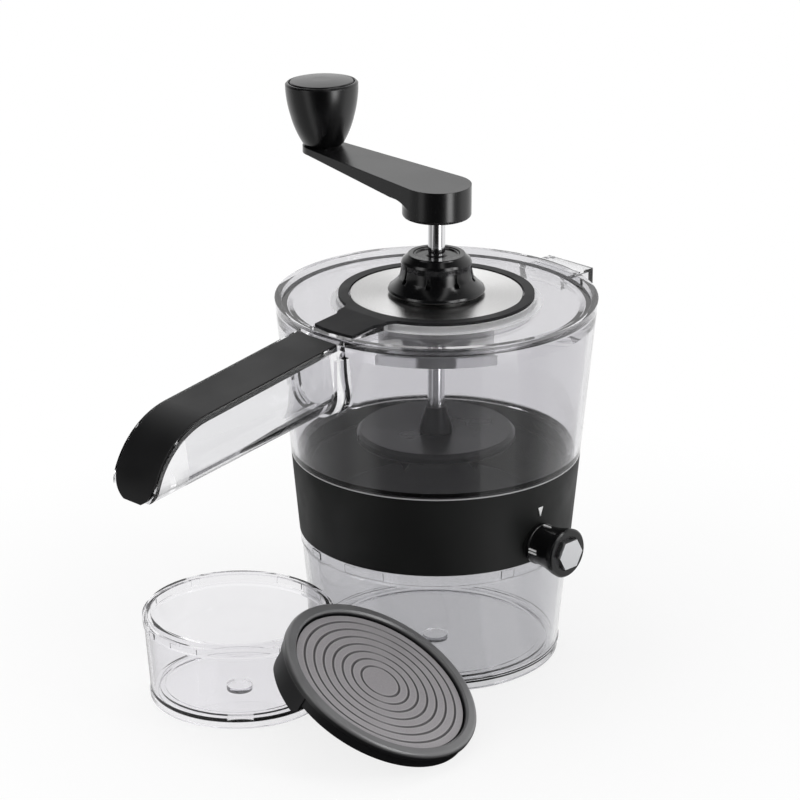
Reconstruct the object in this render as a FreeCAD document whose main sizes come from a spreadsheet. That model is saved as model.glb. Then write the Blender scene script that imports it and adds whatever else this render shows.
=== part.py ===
import FreeCAD, Part
import math
import os
import Sketcher

# Hand-cranked spiral slicer, built in millimetres.
# Origin: centre of the catch container's base, +Z up, the handle along -X, the selector knob along -Y.

document = FreeCAD.newDocument("spiralizer")
sheet = document.addObject("Spreadsheet::Sheet", "Sizes")

# Driving sizes: lengths in millimetres, angles in degrees, counts as whole numbers.
SIZES = {
    # Common outer cone of container, band and vessel
    "base_radius": 58.9,
    "flank_slope": 0.092,
    "running_gap": 0.05,
    "fit_gap": 0.3,
    # Catch container
    "container_height": 61.1,
    "container_wall": 2.2,
    "wall_inset": 0.5,
    "foot_width": 5.0,
    "foot_chamfer": 0.8,
    "foot_height": 5.0,
    "centre_foot": 6.0,
    "floor_bottom": 2.4,
    "floor_thickness": 2.6,
    "ridge_inset": 8.9,
    "ridge_width": 3.4,
    "ridge_height": 1.0,
    "ring_height": 5.3,
    "upstand_height": 4.2,
    "upstand_wall": 2.0,
    "ramp_angle": 18.5,
    "ramp_turn_angle": 13.0,
    "stop_angle": 6.0,
    "stop_turn_angle": 75.0,
    "ramp_height": 4.6,
    "ramp_depth": 0.6,
    "ramp_count": 4,
    # Cutting unit
    "band_height": 38.7,
    "band_wall": 2.6,
    "neck_depth": 8.2,
    "neck_wall": 2.43,
    "ledge_thickness": 2.6,
    "funnel_lip": 1.5,
    "funnel_wall": 1.9,
    "deck_radius": 45.5,
    "deck_lift": 14.1,
    "deck_thickness": 3.5,
    "flange_width": 5.0,
    "flange_thickness": 2.5,
    "slot_margin": 0.7,
    "hub_radius": 8.0,
    "hub_depth": 11.0,
    "deck_screw_count": 3,
    "deck_screw_angle": 90.0,
    "screw_radius": 1.4,
    "screw_head_radius": 2.7,
    "screw_head_height": 1.6,
    "blade_pad": 1.2,
    "blade_thickness": 1.0,
    "blade_width": 15.0,
    "blade_margin": 1.53,
    "blade_bevel": 3.0,
    "blade_inner_end": 6.0,
    "blade_screw_inset": 7.0,
    # Selector
    "selector_drop": 5.0,
    "bar_width": 7.0,
    "journal_run": 5.76,
    "journal_radius": 3.4,
    "pivot_radius": 2.5,
    "pivot_length": 4.6,
    "bush_wall": 1.9,
    "boss_margin": 0.1,
    "boss_rise": 1.24,
    "comb_margin": 0.8,
    "comb_strip": 0.7,
    "comb_width": 5.0,
    "tooth_length": 4.3,
    "tooth_thickness": 0.6,
    "fine_count": 12,
    "medium_count": 6,
    "coarse_count": 3,
    "knob_length": 17.4,
    "knob_root_radius": 9.7,
    "knob_flare": 1.9,
    "knob_face_wall": 3.2,
    "knob_chamfer": 0.7,
    "hex_sides": 6,
    "hex_radius": 7.5,
    "hex_height": 2.2,
    "hex_seat": 1.2,
    "mark_length": 4.6,
    "mark_width": 0.7,
    "mark_spacing": 1.5,
    "mark_relief": 0.15,
    "detent_radius": 1.2,
    "detent_spacing": 1.7,
    "detent_depth": 3.3,
    "pointer_drop": 11.6,
    "pointer_length": 4.6,
    "pointer_width": 3.2,
    # Vessel
    "vessel_height": 75.3,
    "vessel_wall": 2.8,
    "rim_width": 2.9,
    "ledge_depth": 4.5,
    "ledge_width": 2.9,
    "rib_turn_angle": 17.0,
    "rib_angle": 1.3,
    "rib_relief": 0.7,
    "rib_count": 4,
    "lug_length": 18.5,
    "lug_width": 28.0,
    "lug_drop": 5.3,
    "lug_height": 7.7,
    "lug_wall": 2.0,
    "lug_groove": 2.6,
    # Handle, along -X from the rim
    "handle_width": 28.0,
    "handle_length": 81.0,
    "handle_depth": 35.3,
    "handle_drop": 2.1,
    "handle_top_angle": 8.9,
    "handle_floor_angle": 7.6,
    "handle_bend_radius": 38.0,
    "handle_bend_angle": 76.5,
    "handle_heel": 11.0,
    "handle_corner": 11.0,
    "handle_wall": 2.6,
    "cavity_past": 9.4,
    "collar_offset": 5.0,
    "collar_relief": 2.0,
    "grip_offset": 2.2,
    "grip_inset": 1.5,
    "grip_thickness": 2.4,
    # Lid
    "lid_thickness": 2.4,
    "lid_drop": 2.6,
    "plateau_rise": 2.9,
    "plateau_edge": 1.1,
    "plateau_plate": 3.0,
    "cup_radius": 27.0,
    "cup_wall": 2.0,
    "cup_depth": 25.4,
    "cup_cover": 2.0,
    "trim_thickness": 1.5,
    "trim_width": 4.8,
    "trim_gap": 0.4,
    "trim_neck_width": 24.0,
    "trim_neck_margin": 4.8,
    "trim_neck_drop": 2.3,
    "trim_blend": 6.0,
    "disc_radius": 40.3,
    "disc_thickness": 1.2,
    # Collar, sleeve and nut at the spindle
    "spigot_wall": 3.45,
    "spigot_depth": 9.4,
    "collar_flange": 22.6,
    "collar_body": 16.4,
    "collar_height": 19.0,
    "collar_groove_count": 8,
    "collar_groove_angle": 31.0,
    "collar_groove_radius": 0.9,
    "nut_width": 5.0,
    "nut_height": 4.5,
    "nut_notch_count": 6,
    "sleeve_radius": 9.0,
    "sleeve_flange_width": 1.6,
    "sleeve_flange_height": 1.4,
    "clip_width": 2.4,
    "clip_height": 1.2,
    # Spindle, crank and knob
    "shaft_radius": 4.0,
    "shaft_chamfer": 0.6,
    "spindle_drop": 17.8,
    "spindle_rise": 31.0,
    "crank_angle": 86.8,
    "crank_rise_angle": 1.0,
    "crank_hub_height": 15.6,
    "crank_hub_radius": 16.0,
    "crank_reach": 79.2,
    "crank_end_radius": 10.0,
    "crank_root_thickness": 7.2,
    "crank_end_thickness": 3.2,
    "crank_fillet": 3.5,
    "crank_hub_edge": 1.6,
    "shaft_cover": 4.0,
    "knob_lean_angle": 2.0,
    "grip_base_radius": 9.8,
    "grip_max_radius": 17.3,
    "grip_height": 30.1,
    "grip_gap": 0.7,
    "grip_groove": 0.8,
    "grip_cap_height": 2.6,
    "pin_radius": 3.0,
    "pin_height": 21.0,
    "pin_head_radius": 6.0,
    "pin_head_height": 1.2,
    # Pusher
    "pusher_radius": 37.3,
    "pusher_thickness": 5.0,
    "pusher_dish": 1.4,
    "boss_height": 11.0,
    "boss_top_wall": 0.9,
    "boss_base_wall": 3.8,
    "prong_count": 6,
    "prong_turn_angle": 18.0,
    "prong_inset": 5.8,
    "prong_length": 5.5,
    "prong_width": 7.0,
    "prong_thickness": 1.8,
    "inner_prong_circle": 15.0,
    "pusher_screw_radius": 1.8,
    # Storage bowl and its lid, which stand beside the slicer
    "bowl_gap": 0.95,
    "bowl_turn_angle": 166.66,
    "bowl_radius": 41.3,
    "bowl_slope": 0.0753,
    "bowl_height": 40.4,
    "bowl_wall": 1.7,
    "bowl_foot_width": 3.6,
    "bowl_foot_height": 3.6,
    "bowl_ring_height": 3.8,
    "bowl_upstand": 2.1,
    "bowl_ridge_inset": 6.8,
    "bowl_ridge_width": 2.4,
    "cover_gap": 0.125,
    "cover_stand": 1.03,
    "cover_nest": 2.07,
    "cover_turn_angle": -69.6,
    "cover_rise": 3.799,
    "cover_depth": 8.5,
    "cover_lip": 3.4,
    "cover_wall": 1.8,
    "cover_recess": 2.4,
    "cover_rim_width": 5.4,
    "cover_tab_depth": 6.2,
    "cover_tab_corner": 4.2,
    "cover_tab_angle": 40.0,
    "cover_tab_turn_angle": 228.0,
    "cover_plate": 2.2,
    "cover_insert_gap": 1.0,
    "cover_insert_thickness": 1.3,
    "cover_groove_count": 7,
    "cover_groove_margin": 3.9,
    "cover_groove_first": 9.5,
}


class Size:
    """A size of the model: its value now, and the sheet expression that it follows."""

    def __init__(self, value, text):
        self.value = value
        self.text = text

    def __add__(self, other):
        other = as_size(other)
        return Size(self.value + other.value, f"({self.text} + {other.text})")

    def __radd__(self, other):
        return as_size(other) + self

    def __sub__(self, other):
        other = as_size(other)
        return Size(self.value - other.value, f"({self.text} - {other.text})")

    def __rsub__(self, other):
        return as_size(other) - self

    def __mul__(self, other):
        other = as_size(other)
        return Size(self.value * other.value, f"({self.text} * {other.text})")

    def __rmul__(self, other):
        return as_size(other) * self

    def __truediv__(self, other):
        other = as_size(other)
        return Size(self.value / other.value, f"({self.text} / {other.text})")

    def __neg__(self):
        return Size(-self.value, f"(0 - {self.text})")


def as_size(number):
    """A plain number as a Size; a Size as it is."""
    if isinstance(number, Size):
        return number
    return Size(float(number), f"({float(number):.6f})")


def sine(angle):
    angle = as_size(angle)
    return Size(math.sin(math.radians(angle.value)), f"sin({angle.text} * 1deg)")


def cosine(angle):
    angle = as_size(angle)
    return Size(math.cos(math.radians(angle.value)), f"cos({angle.text} * 1deg)")


def tangent(angle):
    return sine(angle) / cosine(angle)


def root(amount):
    return Size(math.sqrt(amount.value), f"sqrt({amount.text})")


def arc_sine(ratio):
    return Size(math.degrees(math.asin(ratio.value)), f"(asin({ratio.text}) / 1deg)")


def angle_between(first, second, opposite):
    """The angle between two sides of a triangle whose third side is given."""
    ratio = (first * first + second * second - opposite * opposite) / (first * second * 2)
    return Size(math.degrees(math.acos(ratio.value)), f"(acos({ratio.text}) / 1deg)")


def fill_sheet():
    """Write the driving sizes to the sheet, one row each, with its name as alias."""
    for row, (alias, value) in enumerate(SIZES.items(), start=1):
        sheet.set(f"A{row}", alias)
        sheet.set(f"B{row}", str(value))
        sheet.setAlias(f"B{row}", alias)
    document.recompute()


fill_sheet()


def size(alias):
    return Size(float(SIZES[alias]), f"Sizes.{alias}")


# Helpers for bodies, sketches and features

def new_body(label):
    body = document.addObject("PartDesign::Body", label)
    body.Label = label
    return body


def origin_feature(body, role):
    return [feature for feature in body.Origin.OriginFeatures if feature.Role == role][0]


def new_sketch(body, name, plane="XZ_Plane", lift=None, turn=None):
    """A sketch on an origin plane, lifted along its normal or, on XZ, turned about the vertical."""
    sketch = body.newObject("Sketcher::SketchObject", f"{body.Label}_{name}_sketch")
    sketch.AttachmentSupport = [(origin_feature(body, plane), "")]
    sketch.MapMode = "FlatFace"
    if turn is not None:
        turn = as_size(turn)
        rotation = FreeCAD.Rotation(FreeCAD.Vector(0, 1, 0), turn.value)
        sketch.AttachmentOffset = FreeCAD.Placement(FreeCAD.Vector(), rotation)
        sketch.setExpression("AttachmentOffset.Rotation.Angle", turn.text)
    if lift is not None:
        lift = as_size(lift)
        sketch.AttachmentOffset = FreeCAD.Placement(FreeCAD.Vector(0, 0, lift.value), FreeCAD.Rotation())
        sketch.setExpression("AttachmentOffset.Base.z", lift.text)
    return sketch


def drive(sketch, constraint, amount):
    """Add a constraint whose value follows the sheet."""
    index = sketch.addConstraint(constraint)
    sketch.setExpression(f"Constraints[{index}]", as_size(amount).text)


def pin_point(sketch, geometry, position, x, y):
    """Tie a point of the sketch to two sizes, measured from the sketch's origin."""
    across = Sketcher.Constraint("DistanceX", -1, 1, geometry, position, as_size(x).value)
    drive(sketch, across, x)
    upward = Sketcher.Constraint("DistanceY", -1, 1, geometry, position, as_size(y).value)
    drive(sketch, upward, y)


def arc_between(start, end, radius):
    """An arc from start to end; a positive radius turns left, a negative one right."""
    chord = end.sub(start)
    half = chord.Length / 2
    rise = math.sqrt(max(radius * radius - half * half, 0.0))
    normal = FreeCAD.Vector(-chord.y, chord.x, 0).normalize()
    side = 1 if radius > 0 else -1
    centre = start.add(chord.multiply(0.5)).add(normal.multiply(rise * side))
    first, last = (start, end) if radius > 0 else (end, start)
    angle_first = math.atan2(first.y - centre.y, first.x - centre.x)
    angle_last = math.atan2(last.y - centre.y, last.x - centre.x)
    circle = Part.Circle(centre, FreeCAD.Vector(0, 0, 1), abs(radius))
    return Part.ArcOfCircle(circle, angle_first, angle_last)


def outline(sketch, corners):
    """A closed outline. A corner is (x, y), or (x, y, radius) where an arc leads on from it."""
    first = len(sketch.Geometry)
    count = len(corners)
    ends = []
    for index, corner in enumerate(corners):
        following = corners[(index + 1) % count]
        start = FreeCAD.Vector(as_size(corner[0]).value, as_size(corner[1]).value, 0)
        end = FreeCAD.Vector(as_size(following[0]).value, as_size(following[1]).value, 0)
        if len(corner) == 2:
            sketch.addGeometry(Part.LineSegment(start, end), False)
            ends.append((1, 2))
        else:
            radius = as_size(corner[2]).value
            sketch.addGeometry(arc_between(start, end, radius), False)
            ends.append((1, 2) if radius > 0 else (2, 1))
    for index in range(count):
        following = (index + 1) % count
        joint = Sketcher.Constraint(
            "Coincident", first + index, ends[index][1], first + following, ends[following][0])
        sketch.addConstraint(joint)
    for index, corner in enumerate(corners):
        pin_point(sketch, first + index, ends[index][0], corner[0], corner[1])
        if len(corner) == 3:
            radius = as_size(corner[2])
            if radius.value < 0:
                radius = -radius
            drive(sketch, Sketcher.Constraint("Radius", first + index, radius.value), radius)


def rectangle(sketch, left, bottom, right, top):
    outline(sketch, [(left, bottom), (right, bottom), (right, top), (left, top)])


def circle(sketch, x, y, radius):
    radius = as_size(radius)
    centre = FreeCAD.Vector(as_size(x).value, as_size(y).value, 0)
    index = len(sketch.Geometry)
    sketch.addGeometry(Part.Circle(centre, FreeCAD.Vector(0, 0, 1), radius.value), False)
    pin_point(sketch, index, 3, x, y)
    drive(sketch, Sketcher.Constraint("Radius", index, radius.value), radius)


def turned(body, name, corners, kind="PartDesign::Revolution", turn=None, angle=None):
    """A solid, or with PartDesign::Groove a cut, turned about the vertical axis."""
    sketch = new_sketch(body, name, turn=turn)
    outline(sketch, corners)
    feature = body.newObject(kind, f"{body.Label}_{name}")
    feature.Profile = sketch
    feature.ReferenceAxis = (sketch, ["V_Axis"])
    feature.Angle = 360
    if angle is not None:
        feature.Midplane = True
        feature.setExpression("Angle", as_size(angle).text)
    sketch.Visibility = False
    return feature


def pad(body, name, sketch, length, both_ways=False, reverse=False):
    feature = body.newObject("PartDesign::Pad", f"{body.Label}_{name}")
    feature.Profile = sketch
    feature.Length = as_size(length).value
    feature.setExpression("Length", as_size(length).text)
    feature.Midplane = both_ways
    feature.Reversed = reverse
    return feature


def pocket(body, name, sketch, length, both_ways=False, reverse=False):
    """A cut, tested at once: it has to take some volume away."""
    document.recompute()
    before = body.Shape.Volume
    feature = body.newObject("PartDesign::Pocket", f"{body.Label}_{name}")
    feature.Profile = sketch
    feature.Length = as_size(length).value
    feature.setExpression("Length", as_size(length).text)
    feature.Midplane = both_ways
    feature.Reversed = reverse
    document.recompute()
    if not body.Shape.Volume < before:
        raise ValueError(f"{body.Label}: {name} cuts nothing")
    return feature


def around(body, name, features, count):
    """Repeat features evenly about the vertical axis."""
    document.recompute()
    pattern = body.newObject("PartDesign::PolarPattern", f"{body.Label}_{name}")
    pattern.Originals = features
    pattern.Axis = (origin_feature(body, "Z_Axis"), [""])
    pattern.Angle = 360
    pattern.Occurrences = int(as_size(count).value)
    pattern.setExpression("Occurrences", as_size(count).text)
    body.Tip = pattern
    return pattern


def in_row(body, name, features, length, count):
    """Repeat features in a row along the body's own Z axis."""
    document.recompute()
    pattern = body.newObject("PartDesign::LinearPattern", f"{body.Label}_{name}")
    pattern.Originals = features
    pattern.Direction = (origin_feature(body, "Z_Axis"), [""])
    pattern.Length = as_size(length).value
    pattern.setExpression("Length", as_size(length).text)
    pattern.Occurrences = int(as_size(count).value)
    pattern.setExpression("Occurrences", as_size(count).text)
    body.Tip = pattern
    return pattern


def place(thing, x=0, y=0, z=0, axis=(0, 0, 1), angle=0):
    """Put a sub-part in the model's frame; its place and its turn follow the sheet."""
    x, y, z, angle = as_size(x), as_size(y), as_size(z), as_size(angle)
    rotation = FreeCAD.Rotation(FreeCAD.Vector(*axis), angle.value)
    thing.Placement = FreeCAD.Placement(FreeCAD.Vector(x.value, y.value, z.value), rotation)
    for name, amount in (("Base.x", x), ("Base.y", y), ("Base.z", z)):
        if amount.text != "(0.000000)":
            thing.setExpression(f"Placement.{name}", amount.text)


def toward_front(thing, z):
    """Lay a body's own Z axis along -Y, at height z, with its own Y axis upward."""
    place(thing, z=z, axis=(1, 0, 0), angle=90)


def cylinder(name, radius, height, x=0, y=0, z=0):
    made = document.addObject("Part::Cylinder", name)
    made.setExpression("Radius", as_size(radius).text)
    made.setExpression("Height", as_size(height).text)
    place(made, x, y, z)
    return made


def joined(label, pieces):
    made = document.addObject("Part::MultiFuse", label)
    made.Label = label
    made.Shapes = pieces
    return made


def screws(label, spots, head_z, head_height, shank_height, downward=True):
    """Identical screws, one separate solid at each spot, with the head below or above its shank."""
    pieces = []
    for number, (x, y) in enumerate(spots, start=1):
        shank_z = head_z + head_height if downward else head_z - shank_height
        pieces.append(cylinder(f"{label}_head_{number}", screw_head_radius, head_height, x, y, head_z))
        pieces.append(cylinder(f"{label}_shank_{number}", screw_radius, shank_height, x, y, shank_z))
    return joined(label, pieces)


# Sizes used by more than one sub-part

base_radius = size("base_radius")
fit_gap = size("fit_gap")
running_gap = size("running_gap")


def flank(height):
    """Outer radius of the common cone at a height."""
    return base_radius + size("flank_slope") * height


band_bottom = size("container_height")
band_top = band_bottom + size("band_height")
band_wall = size("band_wall")
vessel_top = band_top + size("vessel_height")
neck_bottom = band_top - size("neck_depth")
neck_outer = flank(neck_bottom) - band_wall - fit_gap
neck_inner = neck_outer - size("neck_wall")
funnel_radius = neck_inner - size("rib_relief") - fit_gap
deck_top = band_bottom + size("deck_lift")
deck_bottom = deck_top - size("deck_thickness")
deck_radius = size("deck_radius")
selector_height = deck_top - size("selector_drop")
tooth_tip = size("bar_width") / 2 + size("comb_strip") + size("tooth_length")
sweep_radius = tooth_tip + size("slot_margin")
journal_radius = size("journal_radius")
bush_outer = journal_radius + size("bush_wall")
bush_face = flank(selector_height) - band_wall
boss_face = flank(selector_height) + size("boss_rise")
boss_radius = selector_height - band_bottom - size("boss_margin")
detent_offset = bush_outer + size("detent_spacing")
knob_base = boss_face + fit_gap
bar_inner_end = size("hub_radius") + fit_gap
bar_outer_end = bush_face - size("journal_run")
comb_start = bar_inner_end + fit_gap * 8
comb_length = deck_radius - comb_start - size("comb_margin")
screw_radius = size("screw_radius")
screw_head_radius = size("screw_head_radius")
screw_head_height = size("screw_head_height")
blade_back = sweep_radius + size("blade_width")
blade_length = root(deck_radius * deck_radius - blade_back * blade_back) - size("blade_inner_end") - size("blade_margin")
rim_radius = flank(vessel_top)
handle_bend = rim_radius + size("handle_length")
collar_reach = rim_radius + size("collar_offset")
grip_width = size("handle_width") - size("grip_inset") * 2
lug_reach = rim_radius + size("lug_length")
lid_top = vessel_top - size("lid_drop")
lid_ledge = vessel_top - size("ledge_depth")
lid_outer = rim_radius - size("rim_width") - fit_gap
disc_radius = size("disc_radius")
trim_inner = disc_radius + size("trim_gap")
trim_outer = trim_inner + size("trim_width")
trim_neck_reach = lid_outer - size("trim_neck_margin")
plateau_radius = trim_outer + size("plateau_edge")
plateau_top = lid_top + size("plateau_rise")
trim_top = plateau_top + size("trim_thickness")
disc_top = plateau_top + size("disc_thickness")
cup_bottom = plateau_top - size("cup_depth")
sleeve_radius = size("sleeve_radius")
sleeve_flange = sleeve_radius + size("sleeve_flange_width")
sleeve_bottom = cup_bottom + size("cup_cover")
clip_radius = sleeve_radius + size("clip_width")
spigot_radius = sleeve_radius + running_gap + size("spigot_wall")
spigot_bottom = plateau_top - size("spigot_depth")
nut_radius = spigot_radius + size("nut_width")
shaft_radius = size("shaft_radius")
collar_top = disc_top + size("collar_height")
crank_top = collar_top + size("spindle_drop") + size("crank_hub_height")
crank_reach = size("crank_reach")
crank_angle = size("crank_angle")
crank_rise = size("crank_rise_angle")
knob_lean = size("knob_lean_angle")
grip_x = crank_reach * cosine(crank_angle)
grip_y = crank_reach * sine(crank_angle)
grip_z = crank_top + crank_reach * tangent(crank_rise)
pin_radius = size("pin_radius")
boss_top = sleeve_bottom - size("spindle_rise")
pusher_top = boss_top - size("boss_height")
pusher_bottom = pusher_top - size("pusher_thickness")
slope_drop = tangent(size("handle_top_angle"))
bottom_drop = tangent(size("handle_floor_angle"))

# The storage bowl stands a gap away from the container, and its lid leans between the two.
bowl_rim = size("bowl_radius") + size("bowl_slope") * size("bowl_height")
bowl_turn = size("bowl_turn_angle")
bowl_distance = flank(size("bowl_height")) + bowl_rim + size("bowl_gap")
cover_radius = bowl_rim + size("ramp_depth") + size("cover_gap") + size("cover_wall") + size("cover_lip") / 3
cover_skirt = cover_radius - size("cover_lip") / 3
cover_lean = arc_sine((size("bowl_height") + size("bowl_upstand") + size("cover_rise")) / (cover_skirt * 2))
cover_height = size("cover_depth") * cosine(cover_lean) + cover_skirt * sine(cover_lean) + fit_gap / 3
cover_distance = flank(cover_height) + cover_radius + size("cover_stand")
cover_spacing = bowl_rim + cover_radius * cosine(cover_lean) - size("cover_nest")
cover_place_angle = bowl_turn + angle_between(bowl_distance, cover_distance, cover_spacing)
recess_radius = cover_radius - size("cover_rim_width")
insert_radius = recess_radius - size("cover_insert_gap")


# Catch container and storage bowl: one kind of tub in two sizes

def tub(label, names):
    """A tapered tub with a foot, a ridge on its floor, a ring at its rim and a thin upstand."""
    radius, slope, shoulder = names["radius"], names["slope"], names["shoulder"]
    foot_width, foot_height = names["foot_width"], names["foot_height"]
    ridge, ridge_width = names["ridge"], names["ridge_width"]
    wall, upstand, upstand_radius = names["wall"], names["upstand"], names["upstand_radius"]
    chamfer = size("foot_chamfer")
    inset = size("wall_inset")
    floor_bottom = size("floor_bottom")
    floor_top = floor_bottom + size("floor_thickness")
    ridge_top = floor_top + size("ridge_height")
    ring_bottom = shoulder - names["ring"]
    lip = upstand_radius - size("upstand_wall")

    def outer(height):
        return radius + slope * height

    body = new_body(label)
    turned(body, "shell", [
        (radius - foot_width, 0),
        (radius - chamfer, 0),
        (radius, chamfer),
        (outer(foot_height), foot_height),
        (outer(foot_height) - inset, foot_height),
        (outer(ring_bottom) - inset, ring_bottom),
        (outer(ring_bottom), ring_bottom),
        (outer(shoulder), shoulder),
        (upstand_radius, shoulder),
        (upstand_radius, shoulder + upstand),
        (lip, shoulder + upstand),
        (lip, ring_bottom),
        (outer(ring_bottom - wall) - inset - wall, ring_bottom - wall),
        (outer(floor_top) - inset - wall, floor_top),
        (ridge + ridge_width, floor_top),
        (ridge + ridge_width, ridge_top),
        (ridge, ridge_top),
        (ridge, floor_top),
        (0, floor_top),
        (0, 0),
        (size("centre_foot"), 0),
        (size("centre_foot"), floor_bottom),
        (radius - foot_width, floor_bottom),
    ])
    ramp_bottom = shoulder - size("ramp_height") * names["ring"] / size("ring_height")
    ramp_depth = size("ramp_depth")

    def ramp(name, turn, angle):
        return turned(body, name, [
            (outer(ramp_bottom) - ramp_depth, ramp_bottom),
            (outer(ramp_bottom) + ramp_depth, ramp_bottom),
            (outer(shoulder) + ramp_depth, shoulder - ramp_depth),
            (outer(shoulder) - ramp_depth, shoulder - ramp_depth),
        ], turn=turn, angle=angle)

    long_ramp = ramp("ramp", size("ramp_turn_angle"), size("ramp_angle"))
    around(body, "ramps", [long_ramp], size("ramp_count"))
    stop = ramp("stop", size("stop_turn_angle"), size("stop_angle"))
    around(body, "stops", [stop], size("ramp_count"))
    return body


def catch_container():
    return tub("catch_container", {
        "radius": base_radius,
        "slope": size("flank_slope"),
        "shoulder": band_bottom,
        "wall": size("container_wall"),
        "foot_width": size("foot_width"),
        "foot_height": size("foot_height"),
        "ridge": base_radius - size("ridge_inset"),
        "ridge_width": size("ridge_width"),
        "ring": size("ring_height"),
        "upstand": size("upstand_height"),
        "upstand_radius": flank(band_bottom) - band_wall - fit_gap,
    })


def storage_bowl():
    body = tub("storage_bowl", {
        "radius": size("bowl_radius"),
        "slope": size("bowl_slope"),
        "shoulder": size("bowl_height"),
        "wall": size("bowl_wall"),
        "foot_width": size("bowl_foot_width"),
        "foot_height": size("bowl_foot_height"),
        "ridge": size("bowl_radius") - size("bowl_ridge_inset"),
        "ridge_width": size("bowl_ridge_width"),
        "ring": size("bowl_ring_height"),
        "upstand": size("bowl_upstand"),
        "upstand_radius": bowl_rim - size("bowl_wall"),
    })
    place(body, x=bowl_distance * cosine(bowl_turn), y=bowl_distance * sine(bowl_turn))
    return body


# Cutting unit

def cutter_housing():
    """The black band with the funnel inside it, the ledge for the vessel and the selector boss."""
    body = new_body("cutter_housing")
    boss = new_sketch(body, "boss", "XZ_Plane", lift=boss_face)
    circle(boss, 0, selector_height, boss_radius)
    pad(body, "boss", boss, boss_face - flank(0), reverse=True)
    funnel_inner = funnel_radius - size("funnel_wall")
    ledge_bottom = neck_bottom - size("ledge_thickness")
    funnel_top = neck_bottom + size("funnel_lip")
    flange_bottom = deck_bottom - size("flange_thickness")
    flange_inner = deck_radius - size("flange_width")
    skirt_outer = deck_radius + size("funnel_wall")

    inner_band = [
        (0, flange_bottom),
        (skirt_outer, flange_bottom),
        (skirt_outer, deck_bottom),
        (funnel_inner, ledge_bottom),
        (flank(ledge_bottom) - band_wall, ledge_bottom),
        (flank(band_bottom) - band_wall, band_bottom),
        (0, band_bottom),
    ]
    turned(body, "space", inner_band, kind="PartDesign::Groove")
    turned(body, "shell", [
        (flank(band_bottom), band_bottom),
        (flank(band_top), band_top),
        (flank(band_top) - band_wall, band_top),
        (flank(neck_bottom) - band_wall, neck_bottom),
        (funnel_radius, neck_bottom),
        (funnel_radius, funnel_top),
        (funnel_inner, funnel_top),
        (deck_radius + running_gap, deck_top),
        (deck_radius + running_gap, deck_bottom),
        (flange_inner, deck_bottom),
        (flange_inner, flange_bottom),
        (skirt_outer, flange_bottom),
        (skirt_outer, deck_bottom),
        (funnel_inner, ledge_bottom),
        (flank(ledge_bottom) - band_wall, ledge_bottom),
        (flank(band_bottom) - band_wall, band_bottom),
    ])
    bore = new_sketch(body, "bore", "XZ_Plane", lift=boss_face)
    circle(bore, 0, selector_height, bush_outer)
    pocket(body, "bore", bore, boss_face - skirt_outer)
    sweep = new_sketch(body, "sweep", "XZ_Plane")
    circle(sweep, 0, selector_height, sweep_radius)
    pocket(body, "sweep", sweep, skirt_outer + size("funnel_wall") + fit_gap * 3, reverse=True)
    hole = new_sketch(body, "detent", "XZ_Plane", lift=boss_face)
    circle(hole, detent_offset, selector_height, size("detent_radius") + fit_gap / 2)
    pocket(body, "detent", hole, size("detent_depth"))
    for number, (x, y) in enumerate(deck_screw_spots(), start=1):
        shaft = new_sketch(body, f"screw_{number}", "XY_Plane", lift=deck_bottom)
        circle(shaft, x, y, screw_radius + fit_gap / 2)
        pocket(body, f"screw_{number}", shaft, size("flange_thickness"))
    return body


def deck_screw_spots():
    """Three places on the housing's flange, none of them below the selector bar."""
    circle_radius = deck_radius - size("flange_width") / 2
    step = as_size(360) / size("deck_screw_count")
    spots = []
    for number in range(SIZES["deck_screw_count"]):
        angle = size("deck_screw_angle") + step * number
        spots.append((circle_radius * cosine(angle), circle_radius * sine(angle)))
    return spots


def blade_edge():
    """The blade's edge stands at the rim of the slot, toward -X."""
    return -sweep_radius


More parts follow.
